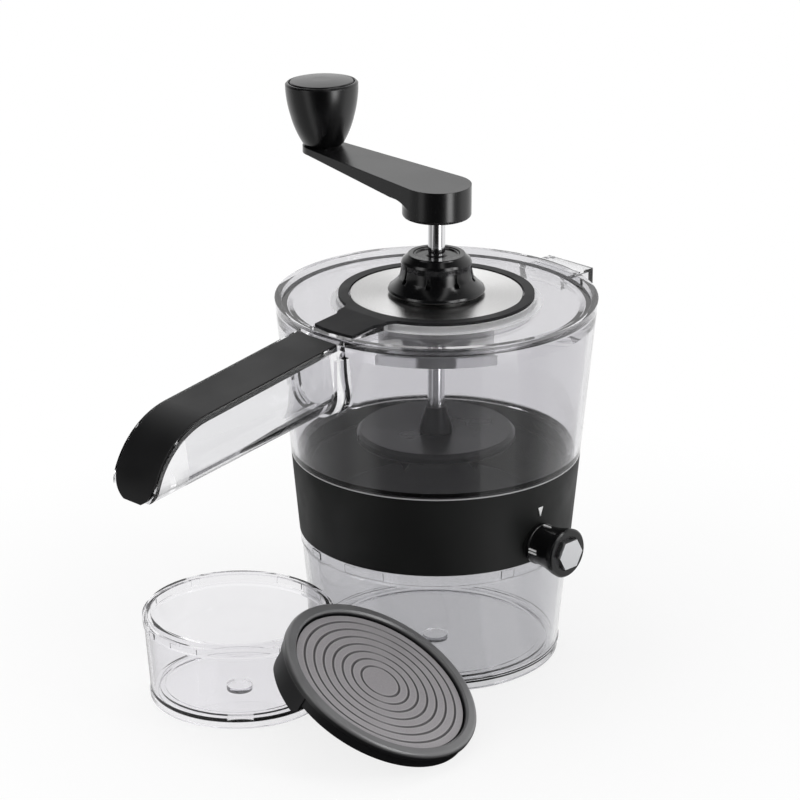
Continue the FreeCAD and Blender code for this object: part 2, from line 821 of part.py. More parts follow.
def blade_deck():
    """The round deck with the slot over the selector bar, the blade pad and the pivot hub below."""
    body = new_body("blade_deck")
    disc = new_sketch(body, "disc", "XY_Plane", lift=deck_bottom)
    circle(disc, 0, 0, deck_radius)
    pad(body, "disc", disc, size("deck_thickness"))
    hub = new_sketch(body, "hub", "XY_Plane", lift=deck_bottom)
    circle(hub, 0, 0, size("hub_radius"))
    pad(body, "hub", hub, size("hub_depth") - size("deck_thickness"), reverse=True)
    raised = new_sketch(body, "raised", "XY_Plane", lift=deck_top)
    rectangle(
        raised,
        -blade_back,
        -size("blade_inner_end") - blade_length,
        blade_edge() - size("blade_bevel"),
        -size("blade_inner_end"))
    pad(body, "raised", raised, size("blade_pad"))
    slot = new_sketch(body, "slot", "XY_Plane", lift=deck_top)
    rectangle(slot, -sweep_radius, -deck_radius - fit_gap, sweep_radius, -bar_inner_end)
    pocket(body, "slot", slot, size("deck_thickness"))
    saddle_depth = size("hub_radius") - size("pivot_length")
    saddle = new_sketch(body, "saddle", "XY_Plane", lift=deck_top - size("hub_depth"))
    half = size("pivot_radius") + running_gap
    rectangle(saddle, -half, -size("hub_radius") - fit_gap, half, -saddle_depth)
    pocket(body, "saddle", saddle, selector_height + size("hub_depth") - deck_top, reverse=True)
    bearing = new_sketch(body, "bearing", "XZ_Plane", lift=saddle_depth)
    circle(bearing, 0, selector_height, half)
    pocket(body, "bearing", bearing, size("hub_radius"), reverse=True)
    for number, (x, y) in enumerate(deck_screw_spots(), start=1):
        blind = new_sketch(body, f"blind_{number}", "XY_Plane", lift=deck_bottom)
        circle(blind, x, y, screw_radius)
        pocket(body, f"blind_{number}", blind, size("deck_thickness") / 2, reverse=True)
    for number, (x, y) in enumerate(blade_screw_spots(), start=1):
        blind = new_sketch(body, f"blade_hole_{number}", "XY_Plane", lift=deck_top + size("blade_pad"))
        circle(blind, x, y, screw_radius)
        pocket(body, f"blade_hole_{number}", blind, size("deck_thickness"))
    for number, (x, y) in enumerate(cap_screw_spots(), start=1):
        blind = new_sketch(body, f"cap_hole_{number}", "XY_Plane", lift=deck_top - size("hub_depth"))
        circle(blind, x, y, screw_radius)
        pocket(body, f"cap_hole_{number}", blind, size("hub_radius") / 2, reverse=True)
    return body


def blade_screw_spots():
    middle = -size("blade_inner_end") - blade_length / 2
    reach = blade_length / 2 - size("blade_screw_inset")
    x = blade_edge() - size("blade_width") * 0.62
    return [(x, middle - reach), (x, middle + reach)]


def cap_screw_spots():
    reach = size("hub_radius") - screw_radius * 2
    return [(-reach, 0), (reach, 0)]


def main_blade():
    """The straight blade on its pad, its edge bevelled toward the slot."""
    body = new_body("main_blade")
    bottom = deck_top + size("blade_pad")
    top = bottom + size("blade_thickness")
    back = -blade_back
    section = new_sketch(body, "section", "XZ_Plane", lift=size("blade_inner_end"))
    outline(section, [
        (back, bottom),
        (blade_edge(), bottom),
        (blade_edge() - size("blade_bevel"), top),
        (back, top),
    ])
    pad(body, "section", section, blade_length)
    for number, (x, y) in enumerate(blade_screw_spots(), start=1):
        hole = new_sketch(body, f"hole_{number}", "XY_Plane", lift=top)
        circle(hole, x, y, screw_head_radius)
        pocket(body, f"hole_{number}", hole, size("blade_thickness"))
    return body


def blade_screws():
    """Low-headed screws whose heads lie flush in the blade."""
    top = deck_top + size("blade_pad")
    return screws("blade_screws", blade_screw_spots(), top, size("blade_thickness"),
                  size("deck_thickness"), downward=False)


def deck_screws():
    flange_bottom = deck_bottom - size("flange_thickness")
    return screws("deck_screws", deck_screw_spots(), flange_bottom - screw_head_height,
                  screw_head_height, size("flange_thickness") + size("deck_thickness") / 2)


def pivot_cap():
    """The bearing cap that closes the saddle below the bar's inner end."""
    body = new_body("pivot_cap")
    hub_bottom = deck_top - size("hub_depth")
    plate = new_sketch(body, "plate", "XY_Plane", lift=hub_bottom)
    circle(plate, 0, 0, size("hub_radius"))
    pad(body, "plate", plate, screw_head_height, reverse=True)
    plug = new_sketch(body, "plug", "XY_Plane", lift=hub_bottom)
    half = size("pivot_radius")
    inner = size("hub_radius") - size("pivot_length") + fit_gap
    rectangle(plug, -half, -size("hub_radius") + fit_gap, half, -inner)
    pad(body, "plug", plug, selector_height - half - running_gap - hub_bottom)
    for number, (x, y) in enumerate(cap_screw_spots(), start=1):
        hole = new_sketch(body, f"hole_{number}", "XY_Plane", lift=hub_bottom)
        circle(hole, x, y, screw_radius + fit_gap / 2)
        pocket(body, f"hole_{number}", hole, screw_head_height)
    return body


def cap_screws():
    plate_bottom = deck_top - size("hub_depth") - screw_head_height
    return screws("cap_screws", cap_screw_spots(), plate_bottom - screw_head_height,
                  screw_head_height, screw_head_height + size("hub_radius") / 2)


def selector_bush():
    """The plain bush in the band's boss that carries the bar's journal."""
    body = new_body("selector_bush")
    turned(body, "bush", [
        (journal_radius + running_gap, bush_face),
        (bush_outer, bush_face),
        (bush_outer, boss_face - running_gap),
        (journal_radius + running_gap, boss_face - running_gap),
    ])
    toward_front(body, selector_height)
    return body


def detent_ball():
    ball = document.addObject("Part::Sphere", "detent_ball")
    ball.Label = "detent_ball"
    ball.setExpression("Radius", size("detent_radius").text)
    place(ball, x=detent_offset, y=-(boss_face - size("detent_radius") * 0.45), z=selector_height)
    return ball


def detent_spring():
    """The coil spring behind the detent ball, as the sleeve that its turns fill."""
    body = new_body("detent_spring")
    deep = boss_face - size("detent_depth")
    outer = size("detent_radius")
    inner = outer * 0.55
    front = boss_face - size("detent_radius") * 1.45
    turned(body, "coil", [
        (inner, deep),
        (outer, deep),
        (outer, front),
        (inner, front),
    ])
    place(body, x=detent_offset, z=selector_height, axis=(1, 0, 0), angle=90)
    return body


def pointer_mark():
    """The small triangle on the band that points down at the knob."""
    body = new_body("pointer_mark")
    top = band_top - size("pointer_drop")
    half = size("pointer_width") / 2
    face = new_sketch(body, "face", "XZ_Plane")
    outline(face, [(-half, top), (0, top - size("pointer_length")), (half, top)])
    pad(body, "face", face, flank(top) + size("mark_relief"))
    turned(body, "inside", [
        (0, 0),
        (flank(0), 0),
        (flank(band_top), band_top),
        (0, band_top),
    ], kind="PartDesign::Groove")
    return body


# Selector, modelled along its own Z axis and then laid along -Y

def selector_bar():
    body = new_body("selector_bar")
    half = size("bar_width") / 2
    square = new_sketch(body, "square", "XY_Plane", lift=bar_inner_end)
    rectangle(square, -half, -half, half, half)
    pad(body, "square", square, bar_outer_end - bar_inner_end)
    pivot = new_sketch(body, "pivot", "XY_Plane", lift=bar_inner_end)
    circle(pivot, 0, 0, size("pivot_radius"))
    pad(body, "pivot", pivot, size("pivot_length") - fit_gap, reverse=True)
    journal = new_sketch(body, "journal", "XY_Plane", lift=bar_outer_end)
    circle(journal, 0, 0, journal_radius)
    pad(body, "journal", journal, knob_base + size("knob_length") * 0.6 - bar_outer_end)
    toward_front(body, selector_height)
    return body


def comb(label, count, quarter):
    """A steel comb on one side of the bar: a strip with upright teeth, quarter turns from the top."""
    body = new_body(label)
    face = size("bar_width") / 2
    strip_top = face + size("comb_strip")
    half = size("comb_width") / 2
    strip = new_sketch(body, "strip", "XY_Plane", lift=comb_start)
    rectangle(strip, -half, face, half, strip_top)
    pad(body, "strip", strip, comb_length)
    pitch = comb_length / count
    tooth = new_sketch(body, "tooth", "XY_Plane", lift=comb_start + pitch / 2 - size("tooth_thickness") / 2)
    outline(tooth, [
        (-half * 0.8, face),
        (half * 0.8, face),
        (half * 0.2, tooth_tip),
        (-half * 0.4, tooth_tip),
    ])
    first = pad(body, "tooth", tooth, size("tooth_thickness"))
    in_row(body, "teeth", [first], pitch * (count - 1), count)
    upright = FreeCAD.Rotation(FreeCAD.Vector(1, 0, 0), 90)
    about_bar = FreeCAD.Rotation(FreeCAD.Vector(0, 1, 0), 90 * quarter)
    base = FreeCAD.Vector(0, 0, selector_height.value)
    body.Placement = FreeCAD.Placement(base, about_bar.multiply(upright))
    body.setExpression("Placement.Base.z", selector_height.text)
    return body


def selector_knob():
    """The flared knob, hollow for the bar's journal, with a groove for the detent in its back."""
    body = new_body("selector_knob")
    root_radius = size("knob_root_radius")
    face_radius = root_radius + size("knob_flare")
    chamfer = size("knob_chamfer")
    face = knob_base + size("knob_length")
    rim = face - size("knob_face_wall")
    groove = size("detent_radius") + fit_gap / 2
    detent = detent_offset
    groove_floor = knob_base + groove * 0.6
    turned(body, "solid", [
        (journal_radius, knob_base),
        (detent - groove, knob_base),
        (detent - groove * 0.6, groove_floor),
        (detent + groove * 0.6, groove_floor),
        (detent + groove, knob_base),
        (root_radius, knob_base),
        (root_radius, knob_base + chamfer * 2),
        (root_radius - chamfer / 2, knob_base + chamfer * 2.4, -size("knob_length") * 2.2),
        (face_radius - chamfer / 3, rim),
        (face_radius, face - chamfer),
        (face_radius - chamfer, face),
        (size("hex_radius") + chamfer, face),
        (size("hex_radius") + chamfer, face - size("hex_seat")),
        (journal_radius, face - size("hex_seat")),
    ])
    toward_front(body, selector_height)
    return body


def selector_hex():
    """The six-sided metal cap that stands proud of the knob's face."""
    body = new_body("selector_hex")
    face = knob_base + size("knob_length")
    bottom = face - size("hex_seat")
    six_sided = new_sketch(body, "six_sided", "XY_Plane", lift=bottom)
    corners = []
    sides = SIZES["hex_sides"]
    for number in range(sides):
        angle = as_size(360) / sides * number
        corners.append((size("hex_radius") * cosine(angle), size("hex_radius") * sine(angle)))
    outline(six_sided, corners)
    pad(body, "six_sided", six_sided, size("hex_seat") + size("hex_height"))
    toward_front(body, selector_height)
    return body


def knob_screw():
    """The screw under the metal cap that holds the knob to the bar."""
    body = new_body("knob_screw")
    journal_end = knob_base + size("knob_length") * 0.6
    seat = knob_base + size("knob_length") - size("hex_seat")
    turned(body, "screw", [
        (0, journal_end),
        (journal_radius, journal_end),
        (journal_radius, seat),
        (0, seat),
    ])
    toward_front(body, selector_height)
    return body


def selector_marks(knob):
    """One to four raised strokes, a quarter turn apart, near the knob's root."""
    strokes = []
    relief = size("mark_relief")
    start = knob_base + size("knob_chamfer") * 3
    for quarter in range(4):
        for stroke in range(quarter + 1):
            box = document.addObject("Part::Box", f"mark_{quarter + 1}_{stroke + 1}")
            box.setExpression("Length", size("mark_width").text)
            box.setExpression("Width", (relief * 6).text)
            box.setExpression("Height", size("mark_length").text)
            shift = size("mark_spacing") * (stroke - quarter / 2) - size("mark_width") / 2
            upright = FreeCAD.Rotation(FreeCAD.Vector(1, 0, 0), 90)
            about_bar = FreeCAD.Rotation(FreeCAD.Vector(0, 1, 0), -90 * quarter)
            surface = size("knob_root_radius") - relief * 4.2
            corner = FreeCAD.Vector(shift.value, -start.value, surface.value)
            spot = FreeCAD.Vector(0, 0, selector_height.value).add(about_bar.multVec(corner))
            box.Placement = FreeCAD.Placement(spot, about_bar.multiply(upright))
            turned_corner = turned_point(-90 * quarter, shift, surface)
            box.setExpression("Placement.Base.x", turned_corner[0].text)
            box.setExpression("Placement.Base.y", (-start).text)
            box.setExpression("Placement.Base.z", (selector_height + turned_corner[1]).text)
            strokes.append(box)
    together = joined("all_strokes", strokes)
    raised = document.addObject("Part::Cut", "selector_marks")
    raised.Label = "selector_marks"
    raised.Base = together
    raised.Tool = knob
    return raised


def turned_point(degrees, x, z):
    """A point turned about the Y axis by a whole number of quarter turns."""
    along = round(math.cos(math.radians(degrees)))
    across = round(math.sin(math.radians(degrees)))
    return x * along + z * across, z * along - x * across


# Vessel and handle

def handle_top(x_out):
    """Height of the handle's straight top line at a distance from the axis."""
    return vessel_top - size("handle_drop") - slope_drop * (x_out - rim_radius - size("grip_offset"))


def handle_floor(x_out):
    """Height of the handle's straight bottom line at a distance from the axis."""
    return vessel_top - size("handle_depth") - bottom_drop * (x_out - rim_radius)


def bend_point(angle_past, inset):
    """A point on the bend of the handle's top, at an angle past the straight, inset inward."""
    slope = size("handle_top_angle")
    radius = size("handle_bend_radius")
    centre_x = handle_bend - radius * sine(slope)
    centre_z = handle_top(handle_bend) - radius * cosine(slope)
    angle = slope + angle_past
    return centre_x + (radius - inset) * sine(angle), centre_z + (radius - inset) * cosine(angle)


def trough_sketch(body, name, x_out):
    """A sketch square to the handle's bottom line, with its origin on that line at x_out."""
    sketch = body.newObject("Sketcher::SketchObject", f"{body.Label}_{name}_sketch")
    sketch.AttachmentSupport = [(origin_feature(body, "YZ_Plane"), "")]
    sketch.MapMode = "FlatFace"
    tilt = size("handle_floor_angle")
    rotation = FreeCAD.Rotation(FreeCAD.Vector(-1, 0, 0), tilt.value)
    height = handle_floor(x_out)
    offset = FreeCAD.Vector(0, height.value, -x_out.value)
    sketch.AttachmentOffset = FreeCAD.Placement(offset, rotation)
    sketch.setExpression("AttachmentOffset.Base.y", height.text)
    sketch.setExpression("AttachmentOffset.Base.z", (-x_out).text)
    sketch.setExpression("AttachmentOffset.Rotation.Angle", tilt.text)
    return sketch


def trough_outline(half_width, corner, low, high):
    """Cross-section of a trough with rounded lower corners."""
    return [
        (-half_width, high),
        (-half_width, low + corner, corner),
        (corner - half_width, low),
        (half_width - corner, low, corner),
        (half_width, low + corner),
        (half_width, high),
    ]


def trim_to_trough(body, name, half_width, corner, low):
    """Cut away what lies outside a round-bottomed trough along the handle's bottom line."""
    sketch = trough_sketch(body, name, rim_radius)
    wide = size("handle_width")
    rectangle(sketch, -wide, -wide, wide, wide * 4)
    outline(sketch, trough_outline(half_width, corner, low, wide * 3))
    pocket(body, name, sketch, handle_bend * 3, both_ways=True)


def handle_side(x_in, relief):
    """Side view of the handle from x_in outward, as corners in X and Z; relief lies inside it."""
    bend_start = bend_point(as_size(0), relief)
    bend_end = bend_point(size("handle_bend_angle"), relief)
    heel = bend_end[0] - size("handle_heel")
    return [
        (-x_in, handle_top(x_in) - relief),
        (-bend_start[0], bend_start[1], size("handle_bend_radius") - relief),
        (-bend_end[0], bend_end[1]),
        (-heel, handle_floor(heel) + relief),
        (-x_in, handle_floor(x_in) + relief),
    ]


def vessel():
    """The clear vessel: wall, rim, neck, locating ribs, hollow handle and the lug across from it."""
    body = new_body("vessel")
    half = size("handle_width") / 2
    relief = size("collar_relief")
    side = new_sketch(body, "handle", "XZ_Plane")
    outline(side, handle_side(base_radius, as_size(0)))
    pad(body, "handle", side, size("handle_width"), both_ways=True)
    trim_to_trough(body, "handle_trim", half, size("handle_corner"), as_size(0))
    wall = size("handle_wall")
    inner = collar_reach - wall
    cavity = trough_sketch(body, "cavity", inner)
    outline(cavity, trough_outline(half - wall, size("handle_corner") - wall, wall, half * 3))
    pocket(body, "cavity", cavity, handle_bend - inner + size("cavity_past"))
    seat = new_sketch(body, "seat", "XZ_Plane")
    outline(seat, grip_side(fit_gap, as_size(0)))
    pocket(body, "seat", seat, grip_width + fit_gap * 2, both_ways=True)
    collar = new_sketch(body, "collar", "YZ_Plane", lift=-collar_reach)
    collar_half = half + relief
    collar_low = handle_floor(collar_reach) - relief
    collar_high = handle_top(collar_reach) - relief * 3
    corner = size("handle_corner") + relief
    outline(collar, [
        (-collar_half, collar_high),
        (-collar_half, collar_low + corner, corner),
        (-collar_half + corner, collar_low),
        (collar_half - corner, collar_low, corner),
        (collar_half, collar_low + corner),
        (collar_half, collar_high),
        (half - wall, collar_high),
        (half - wall, collar_low + corner, relief - corner),
        (collar_half - corner, collar_low + relief + wall),
        (corner - collar_half, collar_low + relief + wall, relief - corner),
        (wall - half, collar_low + corner),
        (wall - half, collar_high),
    ])
    pad(body, "collar", collar, collar_reach - base_radius)
    lug = new_sketch(body, "lug", "XY_Plane", lift=vessel_top - size("lug_drop"))
    half_lug = size("lug_width") / 2
    rectangle(lug, base_radius, -half_lug, lug_reach, half_lug)
    pad(body, "lug", lug, size("lug_height"), reverse=True)
    hollow = new_sketch(body, "hollow", "XY_Plane", lift=vessel_top - size("lug_drop") - size("lug_height"))
    lug_wall = size("lug_wall")
    rectangle(
        hollow,
        rim_radius + lug_wall,
        lug_wall - half_lug,
        lug_reach - lug_wall,
        half_lug - lug_wall)
    pocket(body, "hollow", hollow, size("lug_height") - lug_wall, reverse=True)
    step = new_sketch(body, "step", "XY_Plane", lift=vessel_top - size("lug_drop"))
    groove_x = (rim_radius + lug_reach) / 2
    rectangle(step, groove_x, -half_lug, groove_x + size("lug_groove"), half_lug)
    pocket(body, "step", step, lug_wall / 2)
    vessel_wall = size("vessel_wall")
    ledge_inner = lid_outer + fit_gap - size("ledge_width")
    shoulder = band_top + vessel_wall
    wall_line = [
        (ledge_inner, lid_ledge),
        (ledge_inner, lid_ledge - size("ledge_width") / 2),
        (flank(lid_ledge - size("ledge_width") * 2) - vessel_wall, lid_ledge - size("ledge_width") * 2),
        (flank(shoulder) - vessel_wall, shoulder),
        (neck_inner, band_top),
        (neck_inner, neck_bottom),
    ]
    above_rim = vessel_top + size("lug_drop")
    turned(body, "space", wall_line + [
        (0, neck_bottom),
        (0, above_rim),
        (lid_outer + fit_gap, above_rim),
        (lid_outer + fit_gap, lid_ledge),
    ], kind="PartDesign::Groove")
    turned(body, "wall", [
        (neck_outer, neck_bottom),
        (neck_outer, band_top),
        (flank(band_top), band_top),
        (rim_radius, vessel_top),
        (lid_outer + fit_gap, vessel_top),
        (lid_outer + fit_gap, lid_ledge),
    ] + wall_line)
    rib_left = turned(body, "rib_left", rib_outline(), turn=-size("rib_turn_angle"), angle=size("rib_angle"))
    around(body, "ribs_left", [rib_left], size("rib_count"))
    rib_right = turned(body, "rib_right", rib_outline(), turn=size("rib_turn_angle"), angle=size("rib_angle"))
    around(body, "ribs_right", [rib_right], size("rib_count"))
    return body


def rib_outline():
    return [
        (neck_inner - size("rib_relief"), neck_bottom),
        (neck_inner + size("rib_relief"), neck_bottom),
        (neck_inner + size("rib_relief"), band_top - size("rib_relief")),
        (neck_inner - size("rib_relief"), band_top - size("rib_relief") * 2),
    ]


def grip_side(clearance, raised):
    """Side view of the strip on the handle, grown by a clearance below and at its inner end."""
    below = size("grip_thickness") + clearance
    start = rim_radius + size("grip_offset") - clearance
    start_top = bend_point(as_size(0), -raised)
    start_low = bend_point(as_size(0), below)
    end_top = bend_point(size("handle_bend_angle"), -raised)
    end_low = bend_point(size("handle_bend_angle"), below)
    radius = size("handle_bend_radius")
    return [
        (-start, handle_top(start) + raised),
        (-start_top[0], start_top[1], radius + raised),
        (-end_top[0], end_top[1]),
        (-end_low[0], end_low[1], below - radius),
        (-start_low[0], start_low[1]),
        (-start, handle_top(start) - below),
    ]


def handle_grip():
    """The black strip that lies along the handle's top and round its tip."""
    body = new_body("handle_grip")
    half = grip_width / 2
    side = new_sketch(body, "side", "XZ_Plane")
    outline(side, grip_side(as_size(0), fit_gap))
    pad(body, "side", side, grip_width, both_ways=True)
    trim_to_trough(body, "tip", half, half - fit_gap, fit_gap)
    return body


# Lid with its trim and disc

def lid():
    """The clear lid: a flat ring, a raised middle, a bridge toward the handle and a hub cup."""
    body = new_body("lid")
    cup_radius = size("cup_radius")
    cup_inner = cup_radius - size("cup_wall")
    plate = size("lid_thickness")
    plateau = plateau_radius
    under = plateau_top - size("plateau_plate")
    half = size("trim_neck_width") / 2 + size("cup_wall") / 2
    reach = trim_neck_reach
    bridge = new_sketch(body, "bridge", "XZ_Plane")
    outline(bridge, [
        (-cup_radius, plateau_top),
        (-plateau, plateau_top),
        (-reach, plateau_top - size("trim_neck_drop")),
        (-reach, lid_top - plate),
        (-cup_radius, lid_top - plate),
    ])
    pad(body, "bridge", bridge, half * 2, both_ways=True)
    turned(body, "plate", [
        (spigot_radius + fit_gap, plateau_top),
        (plateau, plateau_top),
        (plateau, lid_top),
        (lid_outer, lid_top),
        (lid_outer, lid_ledge),
        (lid_outer - size("ledge_width"), lid_ledge),
        (lid_outer - size("ledge_width") - plate, lid_top - plate),
        (plateau - plate, lid_top - plate),
        (plateau - plate, under),
        (cup_radius, under),
        (cup_radius, cup_bottom),
        (cup_inner, cup_bottom),
        (cup_inner, under),
        (spigot_radius + fit_gap, under),
    ])
    return body


def lid_trim():
    """The black ring with its neck toward the handle."""
    body = new_body("lid_trim")
    outer = trim_outer
    half = size("trim_neck_width") / 2
    reach = trim_neck_reach
    blend = size("trim_blend")
    thick = size("trim_thickness")
    drop = size("trim_neck_drop")
    plan = new_sketch(body, "plan", "XY_Plane", lift=plateau_top - drop)
    circle(plan, 0, 0, outer)
    pad(body, "plan", plan, drop + thick)
    neck = new_sketch(body, "neck", "XY_Plane", lift=plateau_top - drop)
    outline(neck, [
        (-outer + blend, -half - blend),
        (-outer + blend, half + blend),
        (-outer - blend * 0.2, half + blend * 0.35, blend),
        (-outer - blend * 1.2, half),
        (-reach + half * 0.02, half, reach),
        (-reach + half * 0.02, -half),
        (-outer - blend * 1.2, -half, blend),
        (-outer - blend * 0.2, -half - blend * 0.35),
    ])
    pad(body, "neck", neck, drop + thick)
    above = new_sketch(body, "above", "XZ_Plane")
    plateau = plateau_radius
    slope = drop / (reach - plateau)
    past = reach + thick
    outline(above, [
        (-plateau, trim_top),
        (-past, trim_top - slope * (past - plateau)),
        (-past, trim_top + thick),
        (-plateau, trim_top + thick),
    ])
    pocket(body, "above", above, half * 6, both_ways=True)
    below = new_sketch(body, "below", "XZ_Plane")
    outline(below, [
        (outer + thick, plateau_top - drop - thick),
        (outer + thick, plateau_top),
        (-plateau, plateau_top),
        (-past, plateau_top - slope * (past - plateau)),
        (-past, plateau_top - drop - thick),
    ])
    pocket(body, "below", below, outer * 3, both_ways=True)
    middle = new_sketch(body, "middle", "XY_Plane", lift=trim_top)
    circle(middle, 0, 0, trim_inner)
    pocket(body, "middle", middle, thick * 2)
    return body


def lid_disc():
    """The brushed steel disc inside the trim ring."""
    body = new_body("lid_disc")
    radius = disc_radius
    edge = size("disc_thickness") / 3
    turned(body, "disc", [
        (spigot_radius + running_gap, plateau_top),
        (radius, plateau_top),
        (radius, disc_top - edge),
        (radius - edge, disc_top),
        (spigot_radius + running_gap, disc_top),
    ])
    return body


def hub_cover():
    """The round plate that closes the lid's cup round the sleeve."""
    body = new_body("hub_cover")
    inner = size("cup_radius") - size("cup_wall")
    bottom = cup_bottom
    turned(body, "plate", [
        (sleeve_radius + fit_gap * 2, bottom),
        (inner, bottom),
        (inner, bottom + size("cup_cover")),
        (sleeve_radius + fit_gap * 2, bottom + size("cup_cover")),
    ])
    return body


# Collar and sleeve round the spindle

def grip_collar():
    """The flared collar on the lid, with a spigot through disc and lid, and grooves round its body."""
    body = new_body("grip_collar")
    flange = size("collar_flange")
    waist = size("collar_body")
    bore = sleeve_radius + running_gap
    well = sleeve_flange + fit_gap
    well_floor = collar_top - size("sleeve_flange_height") - fit_gap
    height = collar_top - disc_top
    turned(body, "flare", [
        (bore, spigot_bottom),
        (spigot_radius, spigot_bottom),
        (spigot_radius, disc_top),
        (flange * 0.9, disc_top),
        (flange * 0.9, disc_top + height * 0.05),
        (flange * 0.985, disc_top + height * 0.06),
        (flange, disc_top + height * 0.1),
        (flange * 0.98, disc_top + height * 0.15, -flange * 1.1),
        (waist * 1.06, disc_top + height * 0.4, -flange),
        (waist, disc_top + height * 0.66),
        (waist, disc_top + height * 0.8),
        (waist * 0.965, disc_top + height * 0.86),
        (waist * 0.83, collar_top - height * 0.03, waist * 0.1),
        (waist * 0.8, collar_top),
        (well, collar_top),
        (well, well_floor),
        (bore, well_floor),
    ])
    groove_radius = size("collar_groove_radius")
    groove = turned_groove(body, waist, disc_top + height * 0.4, disc_top + height * 0.8, groove_radius)
    around(body, "grooves", groove, size("collar_groove_count"))
    return body


def turned_groove(body, waist, low, high, radius):
    """A shallow upright groove with a round dot at its foot."""
    angle = radius / waist * (180 / math.pi) * 1.6
    channel = turned(body, "channel", [
        (waist - radius * 0.6, low),
        (waist * 1.2, low),
        (waist * 1.2, high),
        (waist - radius * 0.6, high),
    ], kind="PartDesign::Groove", turn=size("collar_groove_angle"), angle=angle)
    dot = turned(body, "dot", [
        (waist - radius * 0.9, low - radius * 1.2),
        (waist * 1.3, low - radius * 1.2),
        (waist * 1.3, low + radius),
        (waist - radius * 0.9, low + radius),
    ], kind="PartDesign::Groove", turn=size("collar_groove_angle"), angle=angle * 1.7)
    return [channel, dot]


def collar_nut():
    """The ring nut that clamps the collar from inside the cup."""
    body = new_body("collar_nut")
    top = plateau_top - size("plateau_plate")
    bottom = top - size("nut_height")
    turned(body, "ring", [
        (spigot_radius, bottom),
        (nut_radius, bottom),
        (nut_radius, top),
        (spigot_radius, top),
    ])
    notch = new_sketch(body, "notch", "XY_Plane", lift=bottom)
    side = size("nut_height") / 3
    rectangle(notch, nut_radius - side, -side, nut_radius + side, side)
    cut = pocket(body, "notch", notch, size("nut_height") / 2, reverse=True)
    around(body, "notches", [cut], size("nut_notch_count"))
    return body


def guide_sleeve():
    """The sleeve that turns in the collar and lets the spindle slide through it."""
    body = new_body("guide_sleeve")
    inner = shaft_radius + running_gap
    clip_top = spigot_bottom - fit_gap
    clip_bottom = clip_top - size("clip_height")
    flange_low = collar_top - size("sleeve_flange_height")
    seat = sleeve_radius - size("clip_height") / 2
    turned(body, "sleeve", [
        (inner, sleeve_bottom),
        (sleeve_radius, sleeve_bottom),
        (sleeve_radius, clip_bottom),
        (seat, clip_bottom),
        (seat, clip_top),
        (sleeve_radius, clip_top),
        (sleeve_radius, flange_low),
        (sleeve_flange, flange_low),
        (sleeve_flange, collar_top - fit_gap),
        (sleeve_flange - fit_gap * 3, collar_top - fit_gap),
        (sleeve_flange - fit_gap * 4, collar_top - fit_gap * 3),
        (inner + fit_gap * 4, collar_top - fit_gap * 3),
        (inner, collar_top - fit_gap),
    ])
    return body


def sleeve_clip():
    """The snap ring that keeps the sleeve in the collar, with the gap that lets it spring on."""
    body = new_body("sleeve_clip")
    clip_top = spigot_bottom - fit_gap
    clip_bottom = clip_top - size("clip_height")
    turned(body, "ring", [
        (sleeve_radius - size("clip_height") / 2, clip_bottom),
        (clip_radius, clip_bottom),
        (clip_radius, clip_top),
        (sleeve_radius - size("clip_height") / 2, clip_top),
    ])
    gap = new_sketch(body, "gap", "XY_Plane", lift=clip_top)
    half = size("clip_height") * 1.4
    rectangle(gap, 0, -half, clip_radius * 1.2, half)
    pocket(body, "gap", gap, size("clip_height"))
    return body


# Spindle, crank and pusher

def spindle_shaft():
    """The round steel shaft from the pusher's boss up into the crank's hub."""
    body = new_body("spindle_shaft")
    chamfer = size("shaft_chamfer")
    bottom = pusher_bottom + size("pusher_thickness") / 2
    top = crank_top - size("shaft_cover")
    thread = size("pusher_screw_radius")
    thread_top = bottom + size("pusher_thickness") * 2
    turned(body, "shaft", [
        (thread, bottom),
        (shaft_radius, bottom),
        (shaft_radius, top - chamfer),
        (shaft_radius - chamfer, top),
        (0, top),
        (0, thread_top),
        (thread, thread_top),
    ])
    return body


